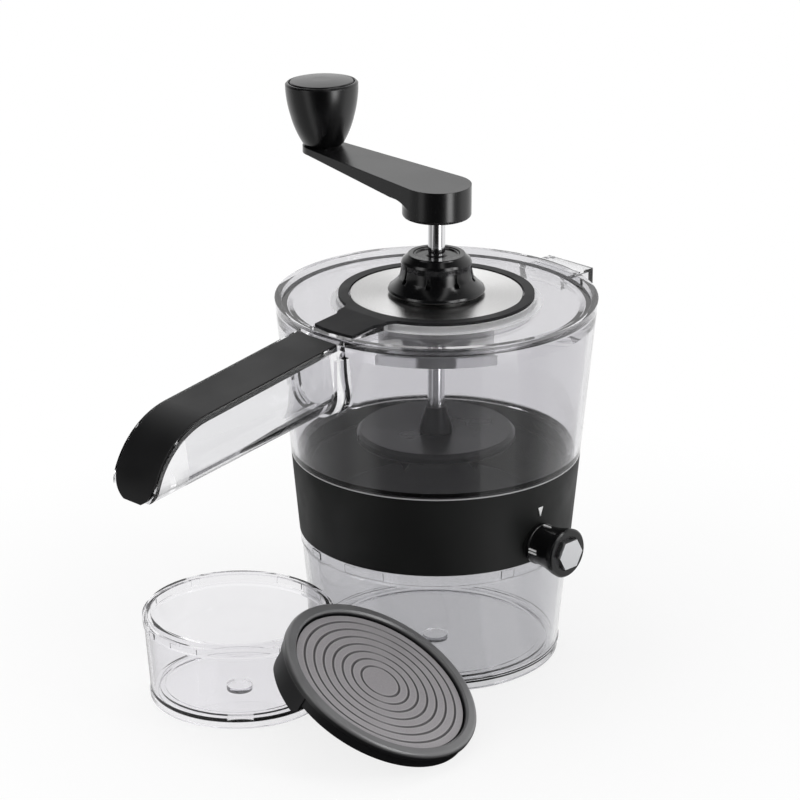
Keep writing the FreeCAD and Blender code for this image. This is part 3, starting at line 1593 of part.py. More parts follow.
def crank_arm():
    """The crank: an upright hub and an arm that rises and thins toward the knob."""
    body = new_body("crank_arm")
    hub_radius = size("crank_hub_radius")
    end_radius = size("crank_end_radius")
    slope = tangent(crank_rise)
    past = crank_reach + end_radius + 1
    root_low = crank_top - size("crank_root_thickness")
    end_low = crank_top + slope * crank_reach - size("crank_end_thickness")
    hub_low = crank_top - size("crank_hub_height")
    fillet = size("crank_fillet")
    side = new_sketch(body, "side", "XZ_Plane")
    outline(side, [
        (-hub_radius, root_low),
        (hub_radius, root_low),
        (crank_reach, end_low),
        (past, end_low + slope * end_radius),
        (past, crank_top + slope * past),
        (-hub_radius, crank_top - slope * hub_radius),
    ])
    pad(body, "side", side, hub_radius * 2, both_ways=True)
    turned(body, "fillet", [
        (0, root_low - fillet),
        (hub_radius, root_low - fillet, -fillet),
        (hub_radius + fillet, root_low),
        (hub_radius + fillet, root_low + 1),
        (0, root_low + 1),
    ])
    lean = (hub_radius - end_radius) / crank_reach
    level = root(1 - lean * lean)
    plan = new_sketch(body, "plan", "XY_Plane", lift=crank_top + size("crank_hub_height"))
    wide = hub_radius * 2
    rectangle(plan, -wide, -wide, past + wide, wide)
    outline(plan, [
        (hub_radius * lean, hub_radius * level, hub_radius),
        (-hub_radius, 0, hub_radius),
        (hub_radius * lean, -hub_radius * level),
        (crank_reach + end_radius * lean, -end_radius * level, end_radius),
        (crank_reach + end_radius, 0, end_radius),
        (crank_reach + end_radius * lean, end_radius * level),
    ])
    pocket(body, "plan", plan, size("crank_hub_height") * 3)
    hub = new_sketch(body, "hub", "XY_Plane", lift=hub_low)
    circle(hub, 0, 0, hub_radius)
    pad(body, "hub", hub, root_low - hub_low)
    bore = new_sketch(body, "bore", "XY_Plane", lift=hub_low)
    circle(bore, 0, 0, shaft_radius)
    pocket(body, "bore", bore, size("crank_hub_height") - size("shaft_cover"), reverse=True)
    pin_hole = new_sketch(body, "pin_hole", "XY_Plane")
    pin_x = crank_reach - grip_z * tangent(knob_lean)
    offset = FreeCAD.Vector(pin_x.value, 0, 0)
    pin_hole.AttachmentOffset = FreeCAD.Placement(offset, FreeCAD.Rotation(FreeCAD.Vector(0, 1, 0), 1))
    circle(pin_hole, 0, 0, pin_radius)
    pin_hole.setExpression("AttachmentOffset.Base.x", pin_x.text)
    pin_hole.setExpression("AttachmentOffset.Rotation.Angle", knob_lean.text)
    pocket(body, "pin_hole", pin_hole, crank_top * 2, reverse=True)
    round_edges(body, "hub_edge", size("crank_hub_edge"), is_hub_foot)
    place(body, angle=crank_angle)
    body.setExpression("Placement.Rotation.Angle", crank_angle.text)
    return body


def is_hub_foot(edge):
    """The round edge at the foot of the crank's hub."""
    if not isinstance(edge.Curve, Part.Circle):
        return False
    low = crank_top.value - SIZES["crank_hub_height"]
    return abs(edge.Curve.Radius - SIZES["crank_hub_radius"]) < 0.01 and abs(edge.CenterOfMass.z - low) < 0.01


def round_edges(body, name, radius, wanted):
    """Round the edges that the test picks out."""
    document.recompute()
    tip = body.Tip
    names = [f"Edge{number}" for number, edge in enumerate(tip.Shape.Edges, start=1) if wanted(edge)]
    if not names:
        raise ValueError(f"{body.Label}: {name} finds no edge")
    feature = body.newObject("PartDesign::Fillet", f"{body.Label}_{name}")
    feature.Base = (tip, names)
    feature.Radius = as_size(radius).value
    feature.setExpression("Radius", as_size(radius).text)
    return feature


def stand_on_arm(body):
    """Stand a body that was modelled on its own Z axis on the arm's end, leaning a little outward."""
    spot = FreeCAD.Vector(grip_x.value, grip_y.value, grip_z.value)
    across = -sine(crank_angle)
    along = cosine(crank_angle)
    rotation = FreeCAD.Rotation(FreeCAD.Vector(across.value, along.value, 0), knob_lean.value)
    body.Placement = FreeCAD.Placement(spot, rotation)
    body.setExpression("Placement.Base.x", grip_x.text)
    body.setExpression("Placement.Base.y", grip_y.text)
    body.setExpression("Placement.Base.z", grip_z.text)
    body.setExpression("Placement.Rotation.Axis.x", across.text)
    body.setExpression("Placement.Rotation.Axis.y", along.text)
    body.setExpression("Placement.Rotation.Angle", knob_lean.text)


def knob_pin():
    """The steel pin fixed in the arm, with a broad head that keeps the knob on it."""
    body = new_body("knob_pin")
    bottom = fit_gap - size("crank_end_thickness")
    top = size("grip_gap") + size("pin_height")
    head_low = top - size("pin_head_height")
    turned(body, "pin", [
        (0, bottom),
        (pin_radius, bottom),
        (pin_radius, head_low),
        (size("pin_head_radius"), head_low),
        (size("pin_head_radius"), top),
        (0, top),
    ])
    stand_on_arm(body)
    return body


def crank_knob():
    """The goblet-shaped knob that turns on its pin, with a pocket for the pin's head."""
    body = new_body("crank_knob")
    base = size("grip_base_radius")
    widest = size("grip_max_radius")
    height = size("grip_height")
    groove = size("grip_groove")
    foot = size("grip_gap")
    top = foot + height
    bore = pin_radius + running_gap
    head_low = foot + size("pin_height") - size("pin_head_height") - fit_gap
    pocket_radius = size("pin_head_radius") + fit_gap
    shoulder = widest - size("grip_cap_height") * 0.6
    seat = top - size("grip_cap_height")
    turned(body, "goblet", [
        (bore, foot),
        (base - groove, foot),
        (base, foot + groove, height * 1.6),
        (widest * 0.88, foot + height * 0.47, height * 1.9),
        (widest, foot + height * 0.9),
        (widest, top - groove),
        (widest - groove, top),
        (shoulder, top),
        (shoulder, seat),
        (pocket_radius, seat),
        (pocket_radius, head_low),
        (bore, head_low),
    ])
    stand_on_arm(body)
    return body


def knob_cap():
    """The domed disc set into the knob's top, apart from its rim by a thin groove."""
    body = new_body("knob_cap")
    groove = size("grip_groove")
    cap = size("grip_cap_height")
    radius = size("grip_max_radius") - cap * 0.6 - running_gap
    seat = size("grip_gap") + size("grip_height") - cap
    top = seat + cap
    turned(body, "cap", [
        (0, seat),
        (radius, seat),
        (radius, seat + groove),
        (radius - groove * 0.7, seat + groove),
        (radius - groove * 0.7, top),
        (radius - groove * 1.2, top + groove * 0.6, radius * 7),
        (radius * 0.3, top + groove * 1.5),
        (0, top + groove * 1.5),
    ])
    stand_on_arm(body)
    return body


def pusher_disc():
    """The dished disc with its conical boss and the prongs that grip the vegetable."""
    body = new_body("pusher_disc")
    radius = size("pusher_radius")
    dish = size("pusher_dish")
    edge = size("pusher_thickness") / 3
    mid = pusher_bottom + size("pusher_thickness") / 2
    boss_base = pusher_top - dish + edge / 2
    head = size("pusher_screw_radius") * 2
    turned(body, "disc", [
        (size("pusher_screw_radius"), pusher_bottom + edge),
        (head, pusher_bottom + edge),
        (head, pusher_bottom),
        (radius - edge / 2, pusher_bottom),
        (radius, pusher_bottom + edge / 2),
        (radius, pusher_top - edge),
        (radius - edge, pusher_top),
        (shaft_radius + size("boss_base_wall"), pusher_top - dish),
        (shaft_radius + size("boss_base_wall"), boss_base),
        (shaft_radius + size("boss_top_wall"), boss_top),
        (shaft_radius, boss_top),
        (shaft_radius, mid),
        (size("pusher_screw_radius"), mid),
    ])
    outer = prong(body, "prong", radius - size("prong_inset"), size("prong_width"))
    around(body, "prongs", [outer], size("prong_count"))
    inner = prong(body, "inner_prong", size("inner_prong_circle"), size("prong_width") * 0.8)
    around(body, "inner_prongs", [inner], size("prong_count") / 2)
    return body


def prong(body, name, reach, width):
    """One flat pointed prong that stands across the radius."""
    turn = size("prong_turn_angle")
    sketch = new_sketch(body, name, "YZ_Plane", lift=reach)
    outline(sketch, [
        (-width / 2, pusher_bottom + fit_gap),
        (0, pusher_bottom - size("prong_length")),
        (width / 2, pusher_bottom + fit_gap),
    ])
    feature = pad(body, name, sketch, size("prong_thickness"), both_ways=True)
    place(body, angle=turn)
    body.setExpression("Placement.Rotation.Angle", turn.text)
    return feature


def pusher_screw():
    """The countersunk screw that holds the pusher to the shaft from below."""
    body = new_body("pusher_screw")
    edge = size("pusher_thickness") / 3
    radius = size("pusher_screw_radius")
    head = radius * 2 - running_gap
    slot = radius / 3
    top = pusher_bottom + size("pusher_thickness") * 2
    turned(body, "screw", [
        (0, pusher_bottom + slot),
        (slot, pusher_bottom + slot),
        (slot, pusher_bottom),
        (head, pusher_bottom),
        (head, pusher_bottom + edge),
        (radius, pusher_bottom + edge),
        (radius, top),
        (0, top),
    ])
    return body


# Storage lid, leaning beside the bowl

def lean_cover(body):
    """Lean a lid that was modelled flat, its rim's top at z = 0, so that its skirt stands on the table."""
    turn = size("cover_turn_angle")
    x = cover_distance * cosine(cover_place_angle)
    y = cover_distance * sine(cover_place_angle)
    tilt = FreeCAD.Rotation(FreeCAD.Vector(0, 1, 0), cover_lean.value)
    about = FreeCAD.Rotation(FreeCAD.Vector(0, 0, 1), turn.value)
    base = FreeCAD.Vector(x.value, y.value, cover_height.value)
    body.Placement = FreeCAD.Placement(base, about.multiply(tilt))
    body.setExpression("Placement.Base.x", x.text)
    body.setExpression("Placement.Base.y", y.text)
    body.setExpression("Placement.Base.z", cover_height.text)


def storage_lid():
    """The black lid: a rolled lip, a skirt with a pull tab, and a recess for the grooved insert."""
    body = new_body("storage_lid")
    radius = cover_radius
    lip = size("cover_lip")
    depth = size("cover_depth")
    recess = size("cover_recess")
    plate_low = -recess - size("cover_insert_thickness") - size("cover_plate")
    skirt_inner = cover_skirt - size("cover_wall")
    turned(body, "cover", [
        (0, -recess - size("cover_insert_thickness")),
        (recess_radius, -recess - size("cover_insert_thickness")),
        (recess_radius, -lip / 4),
        (recess_radius + lip / 4, 0),
        (radius - lip / 2, 0, -lip / 2),
        (radius, -lip / 2),
        (radius, -lip),
        (cover_skirt, -lip - lip / 6),
        (cover_skirt, -depth),
        (skirt_inner, -depth),
        (skirt_inner, plate_low),
        (0, plate_low),
    ])
    tab_low = -depth - size("cover_tab_depth")
    tab_inner = skirt_inner + lip / 6
    tab_outer = cover_skirt + lip / 6
    turned(body, "tab", [
        (tab_inner, tab_low),
        (tab_outer, tab_low),
        (tab_outer, -lip * 3 / 4),
        (tab_inner, -lip * 3 / 4),
    ], turn=size("cover_tab_turn_angle"), angle=size("cover_tab_angle"))

    def is_tab_corner(edge):
        level = all(abs(vertex.Z - tab_low.value) < 0.01 for vertex in edge.Vertexes)
        return level and isinstance(edge.Curve, Part.Line)

    round_edges(body, "tab_corner", size("cover_tab_corner"), is_tab_corner)
    lean_cover(body)
    return body


def storage_lid_insert():
    """The grey disc in the lid's recess, with rings cut into its face."""
    body = new_body("storage_lid_insert")
    radius = insert_radius
    top = -size("cover_recess")
    bottom = top - size("cover_insert_thickness")
    corners = [(0, bottom), (radius, bottom), (radius, top)]
    cut = size("cover_insert_thickness") / 3
    first = size("cover_groove_first")
    pitch = (radius - first - size("cover_groove_margin")) / (size("cover_groove_count") - 1)
    for number in reversed(range(SIZES["cover_groove_count"])):
        ring = first + pitch * number
        corners += [(ring + cut, top), (ring, top - cut), (ring - cut, top)]
    corners.append((0, top))
    turned(body, "disc", corners)
    lean_cover(body)
    return body


turning_knob = selector_knob()

SUB_PARTS = [
    catch_container(),
    cutter_housing(),
    blade_deck(),
    deck_screws(),
    main_blade(),
    blade_screws(),
    pivot_cap(),
    cap_screws(),
    selector_bush(),
    detent_ball(),
    detent_spring(),
    pointer_mark(),
    selector_bar(),
    comb("fine_comb", size("fine_count"), 1),
    comb("medium_comb", size("medium_count"), 2),
    comb("coarse_comb", size("coarse_count"), 3),
    turning_knob,
    selector_hex(),
    knob_screw(),
    selector_marks(turning_knob),
    vessel(),
    handle_grip(),
    lid(),
    lid_trim(),
    lid_disc(),
    hub_cover(),
    grip_collar(),
    collar_nut(),
    guide_sleeve(),
    sleeve_clip(),
    spindle_shaft(),
    crank_arm(),
    knob_pin(),
    crank_knob(),
    knob_cap(),
    pusher_disc(),
    pusher_screw(),
    storage_bowl(),
    storage_lid(),
    storage_lid_insert(),
]


def check_model():
    """Stop unless every object is sound and every sub-part is a valid solid or group of solids."""
    document.recompute()
    for thing in document.Objects:
        for state in thing.State:
            if state in ("Invalid", "Error"):
                raise ValueError(f"{thing.Name} is {state}: {thing.getStatusString()}")
    for part in SUB_PARTS:
        shape = part.Shape
        if shape.isNull() or not shape.isValid() or not shape.Solids:
            raise ValueError(f"{part.Label} has no valid shape")


def write_parts():
    os.makedirs("parts", exist_ok=True)
    for part in SUB_PARTS:
        part.Shape.exportStep(f"parts/{part.Label}.step")
        print(f"{part.Label}: {len(part.Shape.Solids)} solid(s), {part.Shape.Volume:.1f} mm3")


check_model()
write_parts()
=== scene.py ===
"""Looks of the spiralizer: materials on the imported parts, a pale studio, and the photograph's camera."""

import math

import bpy
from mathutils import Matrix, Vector

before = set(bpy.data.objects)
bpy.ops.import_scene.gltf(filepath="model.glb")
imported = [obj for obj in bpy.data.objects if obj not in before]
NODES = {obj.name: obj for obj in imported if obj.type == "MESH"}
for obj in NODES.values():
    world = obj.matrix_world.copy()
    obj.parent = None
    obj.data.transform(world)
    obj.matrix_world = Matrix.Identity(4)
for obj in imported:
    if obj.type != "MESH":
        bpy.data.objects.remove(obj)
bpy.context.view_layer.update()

# Where the storage lid leans: the middle of its lip's top and the way it faces, in metres
COVER_MIDDLE = Vector((-0.0941, -0.0584, 0.03064))
COVER_NORMAL = Vector((0.1722, -0.463, 0.8695)).normalized()

# The storage lid's wall is plain black below its lip, which is paler with a painted highlight: heights from
# the lip's top, in metres
LIP_TOP = -0.0005
LIP_BOTTOM = -0.0020
WALL_TOP = -0.0050

# The insert's ring grooves: radius of the first, distance between two, and the plain middle's radius
FIRST_GROOVE = 0.0095
GROOVE_STEP = 0.0047
PLAIN_MIDDLE = 0.007

# Parts of the clear mouldings with a look of their own or a painted highlight, between two radii and two
# heights in metres.
# Clearness scales how much light passes, rougher is added to the roughness, light is the tint, and ior,
# where it is given, takes the place of the moulding's own.
HANDLE = {
    "inner": 0.0775, "outer": 0.30, "low": 0.13, "high": 0.20,
    "clearness": 1.0, "rougher": 0.0, "light": 0.90,
}
# A thin pale ring low on the vessel wall, just above the band, is a painted highlight.
PAINTED_SEAT_HIGHLIGHT = {
    "inner": 0.0660, "outer": 0.0690, "low": 0.0994, "high": 0.1001,
    "clearness": 0.30, "rougher": 0.2, "light": 0.62,
}
LID_CUP = {
    "inner": -0.01, "outer": 0.030, "low": 0.14, "high": 0.1745,
    "clearness": 0.85, "rougher": 0.30, "light": 0.99, "ior": 1.07,
}
LID_STEP = {
    "inner": 0.0435, "outer": 0.049, "low": 0.1715, "high": 0.19,
    "clearness": 0.55, "rougher": 0.30, "light": 0.95,
}
ZONE_EDGE = 0.0006


class Shader:
    """A small builder for one procedural material."""

    def __init__(self, name):
        self.material = bpy.data.materials.new(name)
        self.material.use_nodes = True
        self.tree = self.material.node_tree
        self.bsdf = self.tree.nodes["Principled BSDF"]
        self.output = self.tree.nodes["Material Output"]

    def node(self, kind, **values):
        """Add a node and set its properties, or else the inputs of the same name."""
        made = self.tree.nodes.new(kind)
        for key, value in values.items():
            if hasattr(made, key):
                setattr(made, key, value)
            else:
                made.inputs[key.replace("_", " ")].default_value = value
        return made

    def link(self, source, target):
        self.tree.links.new(source, target)

    def set(self, **values):
        """Set inputs of the main shader."""
        for key, value in values.items():
            self.bsdf.inputs[key.replace("_", " ")].default_value = value

    def feed(self, name, source):
        """Link a socket to an input of the main shader."""
        self.link(source, self.bsdf.inputs[name])

    def position(self):
        """Position on the object at rest, in metres."""
        return self.node("ShaderNodeTexCoord").outputs["Object"]

    def parts(self, vector):
        """The X, Y and Z of a vector."""
        made = self.node("ShaderNodeSeparateXYZ")
        self.link(vector, made.inputs[0])
        return made.outputs

    def length(self, vector):
        made = self.node("ShaderNodeVectorMath", operation="LENGTH")
        self.link(vector, made.inputs[0])
        return made.outputs["Value"]

    def dot(self, vector, direction):
        made = self.node("ShaderNodeVectorMath", operation="DOT_PRODUCT")
        self.link(vector, made.inputs[0])
        made.inputs[1].default_value = direction
        return made.outputs["Value"]

    def radial(self):
        """Distance from the upright axis."""
        place = self.parts(self.position())
        flat = self.node("ShaderNodeCombineXYZ")
        self.link(place["X"], flat.inputs["X"])
        self.link(place["Y"], flat.inputs["Y"])
        return self.length(flat.outputs[0])

    def noise(self, scale, detail=3.0, rough=0.5):
        made = self.node("ShaderNodeTexNoise", Scale=scale, Detail=detail, Roughness=rough)
        self.link(self.position(), made.inputs["Vector"])
        return made.outputs["Fac"]

    def maths(self, operation, first, second=None):
        """One arithmetic step on two sockets or numbers."""
        made = self.node("ShaderNodeMath", operation=operation)
        for slot, value in zip(made.inputs, (first, second)):
            if isinstance(value, (int, float)):
                slot.default_value = value
            elif value is not None:
                self.link(value, slot)
        return made.outputs[0]

    def ramp(self, source, low, high, start=0.35, end=0.65):
        """Map a value between start and end to a range of numbers."""
        made = self.node("ShaderNodeMapRange")
        made.inputs["From Min"].default_value = start
        made.inputs["From Max"].default_value = end
        made.inputs["To Min"].default_value = low
        made.inputs["To Max"].default_value = high
        self.link(source, made.inputs["Value"])
        return made.outputs["Result"]

    def between(self, value, low, high, edge):
        """1 between two values, fading to 0 over an edge outside them."""
        rising = self.ramp(value, 0.0, 1.0, low - edge, low)
        falling = self.ramp(value, 1.0, 0.0, high, high + edge)
        return self.maths("MULTIPLY", rising, falling)

    def mix_colour(self, factor, first, second):
        """Mix two colours, each given as three numbers or as another node's socket."""
        made = self.node("ShaderNodeMix", data_type="RGBA")
        slots = [slot for slot in made.inputs if slot.type == "RGBA"]
        for slot, colour in zip(slots, (first, second)):
            if isinstance(colour, (tuple, list)):
                slot.default_value = (*colour, 1.0)
            else:
                self.link(colour, slot)
        self.link(factor, made.inputs["Factor"])
        return [slot for slot in made.outputs if slot.type == "RGBA"][0]

    def mix_shader(self, factor, first, second):
        made = self.node("ShaderNodeMixShader")
        for slot, source in zip(made.inputs, (factor, first, second)):
            self.link(source, slot)
        return made.outputs[0]

    def bump(self, height, strength, distance, radius=0.0):
        """Bump, laid over edges rounded by a small radius."""
        made = self.node("ShaderNodeBump", Strength=strength, Distance=distance)
        self.link(height, made.inputs["Height"])
        if radius:
            soft = self.node("ShaderNodeBevel", samples=6, Radius=radius)
            self.link(soft.outputs["Normal"], made.inputs["Normal"])
        self.feed("Normal", made.outputs["Normal"])


def shades(colour, darker, lighter):
    """A darker and a lighter version of a colour."""
    return [part * darker for part in colour], [min(1.0, part * lighter) for part in colour]


def black_plastic(name, colour, rough, grain=0.12, edge=0.0004, level=0.5):
    """Moulded black plastic with a fine spark-eroded grain and gloss made slightly uneven by wear."""
    shader = Shader(name)
    shader.set(Specular_IOR_Level=level, IOR=1.5)
    cloud = shader.noise(38.0, detail=4.0)
    shader.feed("Base Color", shader.mix_colour(cloud, *shades(colour, 0.82, 1.18)))
    shader.feed("Roughness", shader.ramp(cloud, rough * 0.88, rough * 1.14))
    shader.bump(shader.noise(2600.0, detail=2.0), grain, 0.0001, edge)
    return shader.material


def matt_plastic(name, colour, rough):
    """Plain moulded plastic without gloss."""
    shader = Shader(name)
    shader.set(Specular_IOR_Level=0.5)
    cloud = shader.noise(70.0, detail=4.0)
    shader.feed("Base Color", shader.mix_colour(cloud, *shades(colour, 0.93, 1.06)))
    shader.feed("Roughness", shader.ramp(cloud, rough * 0.9, rough * 1.12))
    shader.bump(shader.noise(1800.0, detail=2.0), 0.1, 0.0001, 0.0003)
    return shader.material


def clear_plastic(name, tint, ior=1.4, scatter=0.2, zones=()):
    """Clear moulded plastic: a faint lilac tint, slow waves, hairline scuffs and a little haze.

    Scatter is the share of light that its edges scatter where they are seen at a flat angle.
    """
    rough = 0.02
    milk = 0.005
    shader = Shader(name)
    shader.set(IOR=ior, Specular_IOR_Level=0.5)
    colour = shader.mix_colour(shader.noise(24.0), *shades(tint, 1.0, 1.03))
    scuffed = shader.ramp(shader.noise(320.0, detail=5.0, rough=0.7), rough, rough + 0.05, 0.5, 0.8)
    clear = shader.ramp(shader.noise(9.0, detail=2.0), 1.0 - milk * 0.7, 1.0 - milk * 1.3)
    radius = shader.radial()
    height = shader.parts(shader.position())["Z"]
    for zone in zones:
        inside = shader.maths(
            "MULTIPLY",
            shader.between(radius, zone["inner"], zone["outer"], ZONE_EDGE),
            shader.between(height, zone["low"], zone["high"], ZONE_EDGE),
        )
        light = zone["light"]
        colour = shader.mix_colour(inside, colour, (light, light, light * 1.01))
        scuffed = shader.maths("ADD", scuffed, shader.ramp(inside, 0.0, zone["rougher"], 0.0, 1.0))
        clear = shader.maths("MULTIPLY", clear, shader.ramp(inside, 1.0, zone["clearness"], 0.0, 1.0))
        if "ior" in zone:
            shader.feed("IOR", shader.ramp(inside, ior, zone["ior"], 0.0, 1.0))
    facing = shader.node("ShaderNodeLayerWeight", Blend=0.5).outputs["Facing"]
    clear = shader.maths("MULTIPLY", clear, shader.ramp(facing, 1.0, 1.0 - scatter, 0.72, 0.98))
    shader.feed("Base Color", colour)
    shader.feed("Transmission Weight", clear)
    shader.feed("Roughness", scuffed)
    shader.bump(shader.noise(45.0, detail=1.0), 0.10, 0.0006)
    return shader.material


def smoke_plastic(name):
    """Pale grey cover, lightly translucent."""
    shader = Shader(name)
    shader.set(IOR=1.4, Transmission_Weight=0.2, Roughness=0.35)
    shader.feed("Base Color", shader.mix_colour(shader.noise(60.0), (0.80, 0.80, 0.82), (0.88, 0.88, 0.90)))
    shader.bump(shader.noise(900.0), 0.08, 0.0002)
    return shader.material


def spun_steel(name):
    """Steel disc brushed in rings about its middle, with soft wedges painted into its colour as reflections.
    """
    shader = Shader(name)
    shader.set(Metallic=1.0, Anisotropic=0.85)
    rings = shader.node("ShaderNodeTexNoise", noise_dimensions="1D", Scale=9000.0, Detail=3.0)
    shader.link(shader.radial(), rings.inputs["W"])
    lines = rings.outputs["Fac"]
    place = shader.parts(shader.position())
    # Painted reflection: lighter and darker wedges by angle, in the colour, in place of the brushed finish's
    # highlights.
    angle = shader.maths("ARCTAN2", place["Y"], place["X"])
    painted_wedge_reflection = shader.maths("SINE", shader.maths("ADD", shader.maths("MULTIPLY", angle, 2.0), 0.9))
    rings_and_painted_wedges = shader.maths("ADD", lines, shader.maths("MULTIPLY", painted_wedge_reflection, 0.5))
    share = shader.ramp(rings_and_painted_wedges, 0.0, 1.0, -0.1, 1.1)
    shader.feed("Base Color", shader.mix_colour(share, (0.72, 0.715, 0.71), (0.97, 0.965, 0.96)))
    shader.feed("Roughness", shader.ramp(lines, 0.25, 0.31))
    tangent = shader.node("ShaderNodeTangent", direction_type="RADIAL", axis="Z")
    shader.feed("Tangent", tangent.outputs[0])
    shader.bump(lines, 0.03, 0.0001, 0.0003)
    return shader.material


def metal(name, colour, rough, lines, stretch, edge=0.0002):
    """Plain metal with fine lines, stretched where a part of stretch is small."""
    shader = Shader(name)
    shader.set(Metallic=1.0)
    mapping = shader.node("ShaderNodeMapping", Scale=[lines * part for part in stretch])
    shader.link(shader.position(), mapping.inputs["Vector"])
    grind = shader.node("ShaderNodeTexNoise", Scale=1.0, Detail=3.0)
    shader.link(mapping.outputs[0], grind.inputs["Vector"])
    drawn = grind.outputs["Fac"]
    shader.feed("Base Color", shader.mix_colour(drawn, *shades(colour, 0.93, 1.05)))
    shader.feed("Roughness", shader.ramp(drawn, rough * 0.85, rough * 1.2))
    shader.bump(drawn, 0.04, 0.0001, edge)
    return shader.material


def from_cover(shader):
    """Position measured from the middle of the storage lid's lip."""
    shift = shader.node("ShaderNodeVectorMath", operation="SUBTRACT")
    shader.link(shader.position(), shift.inputs[0])
    shift.inputs[1].default_value = COVER_MIDDLE
    return shift.outputs[0]


def storage_plastic(name):
    """Black plastic of the storage lid, paler on its rounded lip with a painted highlight, and glossier
    there.
    """
    shader = Shader(name)
    shader.set(IOR=1.5)
    cloud = shader.noise(38.0, detail=4.0)
    height = shader.dot(from_cover(shader), COVER_NORMAL)
    on_lip = shader.ramp(height, 0.0, 1.0, LIP_BOTTOM, LIP_TOP)
    # The lip's paler colour is a painted highlight, made a little uneven by the cloud noise.
    painted_lip_highlight = shader.maths("MULTIPLY", on_lip, shader.ramp(cloud, 0.8, 1.0))
    shader.feed("Base Color", shader.mix_colour(painted_lip_highlight, (0.008, 0.008, 0.0088), (0.16, 0.16, 0.163)))
    shader.feed("Specular IOR Level", shader.ramp(height, 0.22, 0.85, WALL_TOP, LIP_TOP))
    shader.feed("Roughness", shader.ramp(cloud, 0.28, 0.36))
    shader.bump(shader.noise(2600.0, detail=2.0), 0.06, 0.0001, 0.0004)
    return shader.material


def grooved_insert(name):
    """Grey rubber-like disc: speckled land, with painted shade in its ring grooves and painted highlights on
    their lips.
    """
    shader = Shader(name)
    shader.set(Specular_IOR_Level=0.45)
    across = shader.node("ShaderNodeVectorMath", operation="CROSS_PRODUCT")
    shader.link(from_cover(shader), across.inputs[0])
    across.inputs[1].default_value = COVER_NORMAL
    radius = shader.length(across.outputs[0])
    steps = shader.maths("DIVIDE", shader.maths("SUBTRACT", radius, FIRST_GROOVE), GROOVE_STEP)
    nearest = shader.maths("ABSOLUTE", shader.maths("SUBTRACT", steps, shader.maths("ROUND", steps)))
    ringed = shader.maths("GREATER_THAN", radius, PLAIN_MIDDLE)
    # Painted shade darkens the ring grooves and a painted highlight lightens their lips.
    painted_groove_shade = shader.maths("MULTIPLY", shader.ramp(nearest, 1.0, 0.0, 0.10, 0.17), ringed)
    lip = shader.maths("MULTIPLY", shader.ramp(nearest, 1.0, 0.0, 0.19, 0.26), ringed)
    speckle = shader.noise(1500.0, detail=2.0)
    cloud = shader.noise(28.0)
    mottle = shader.maths("ADD", shader.maths("MULTIPLY", speckle, 0.6), shader.maths("MULTIPLY", cloud, 0.4))
    land = shader.mix_colour(mottle, (0.225, 0.213, 0.223), (0.43, 0.412, 0.426))
    land_with_painted_highlight = shader.mix_colour(lip, land, (0.40, 0.385, 0.395))
    shader.feed("Base Color", shader.mix_colour(painted_groove_shade, land_with_painted_highlight, (0.10, 0.096, 0.10)))
    shader.feed("Roughness", shader.ramp(cloud, 0.30, 0.38))
    shader.bump(speckle, 0.12, 0.0001, 0.0002)
    return shader.material


MATERIALS = {
    "clear": clear_plastic("clear_wall", (0.745, 0.74, 0.76), zones=[HANDLE, PAINTED_SEAT_HIGHLIGHT]),
    "clear_base": clear_plastic("clear_base_wall", (0.70, 0.70, 0.715)),
    "clear_small": clear_plastic("clear_bowl_wall", (0.91, 0.905, 0.92), ior=1.3, scatter=0.35),
    "clear_lid": clear_plastic("clear_lid_plate", (0.80, 0.795, 0.81), zones=[LID_CUP, LID_STEP]),
    "band": black_plastic("band_black", (0.0060, 0.0065, 0.0063), 0.55, level=0.22),
    "funnel": black_plastic("deck_charcoal", (0.022, 0.0215, 0.024), 0.5, grain=0.015, level=0.10),
    "crank": black_plastic("crank_black", (0.005, 0.005, 0.0054), 0.22, grain=0.08, level=0.46),
    "gloss": black_plastic("gloss_black", (0.003, 0.003, 0.0034), 0.16, grain=0.03),
    "knob": black_plastic("knob_black", (0.003, 0.003, 0.0034), 0.24, grain=0.04),
    "soft": black_plastic("soft_dark", (0.007, 0.007, 0.0075), 0.38, grain=0.2, level=0.27),
    "trim": black_plastic("trim_dark", (0.015, 0.015, 0.016), 0.48, grain=0.2, level=0.18),
    "pusher": black_plastic("pusher_charcoal", (0.009, 0.0088, 0.0102), 0.3, grain=0.03, level=0.14),
    "storage": storage_plastic("storage_black"),
    "dark_grey": black_plastic("bar_grey", (0.10, 0.10, 0.105), 0.4),
    "bearing": matt_plastic("bearing_pale", (0.62, 0.62, 0.60), 0.4),
    "smoke": smoke_plastic("cover_smoke"),
    "insert": grooved_insert("insert_grey"),
    "white": matt_plastic("mark_white", (0.86, 0.86, 0.86), 0.5),
    "disc": spun_steel("disc_steel"),
    "blade": metal("blade_ground", (0.60, 0.60, 0.61), 0.24, 900.0, (1.0, 0.06, 1.0)),
    "screw": metal("screw_plain", (0.52, 0.52, 0.53), 0.32, 700.0, (1.0, 1.0, 1.0)),
    "shaft": metal("shaft_polished", (0.72, 0.72, 0.73), 0.10, 500.0, (1.0, 1.0, 0.04)),
    "hex": metal("hex_satin", (0.76, 0.765, 0.78), 0.34, 1400.0, (1.0, 1.0, 1.0), edge=0.0003),
}

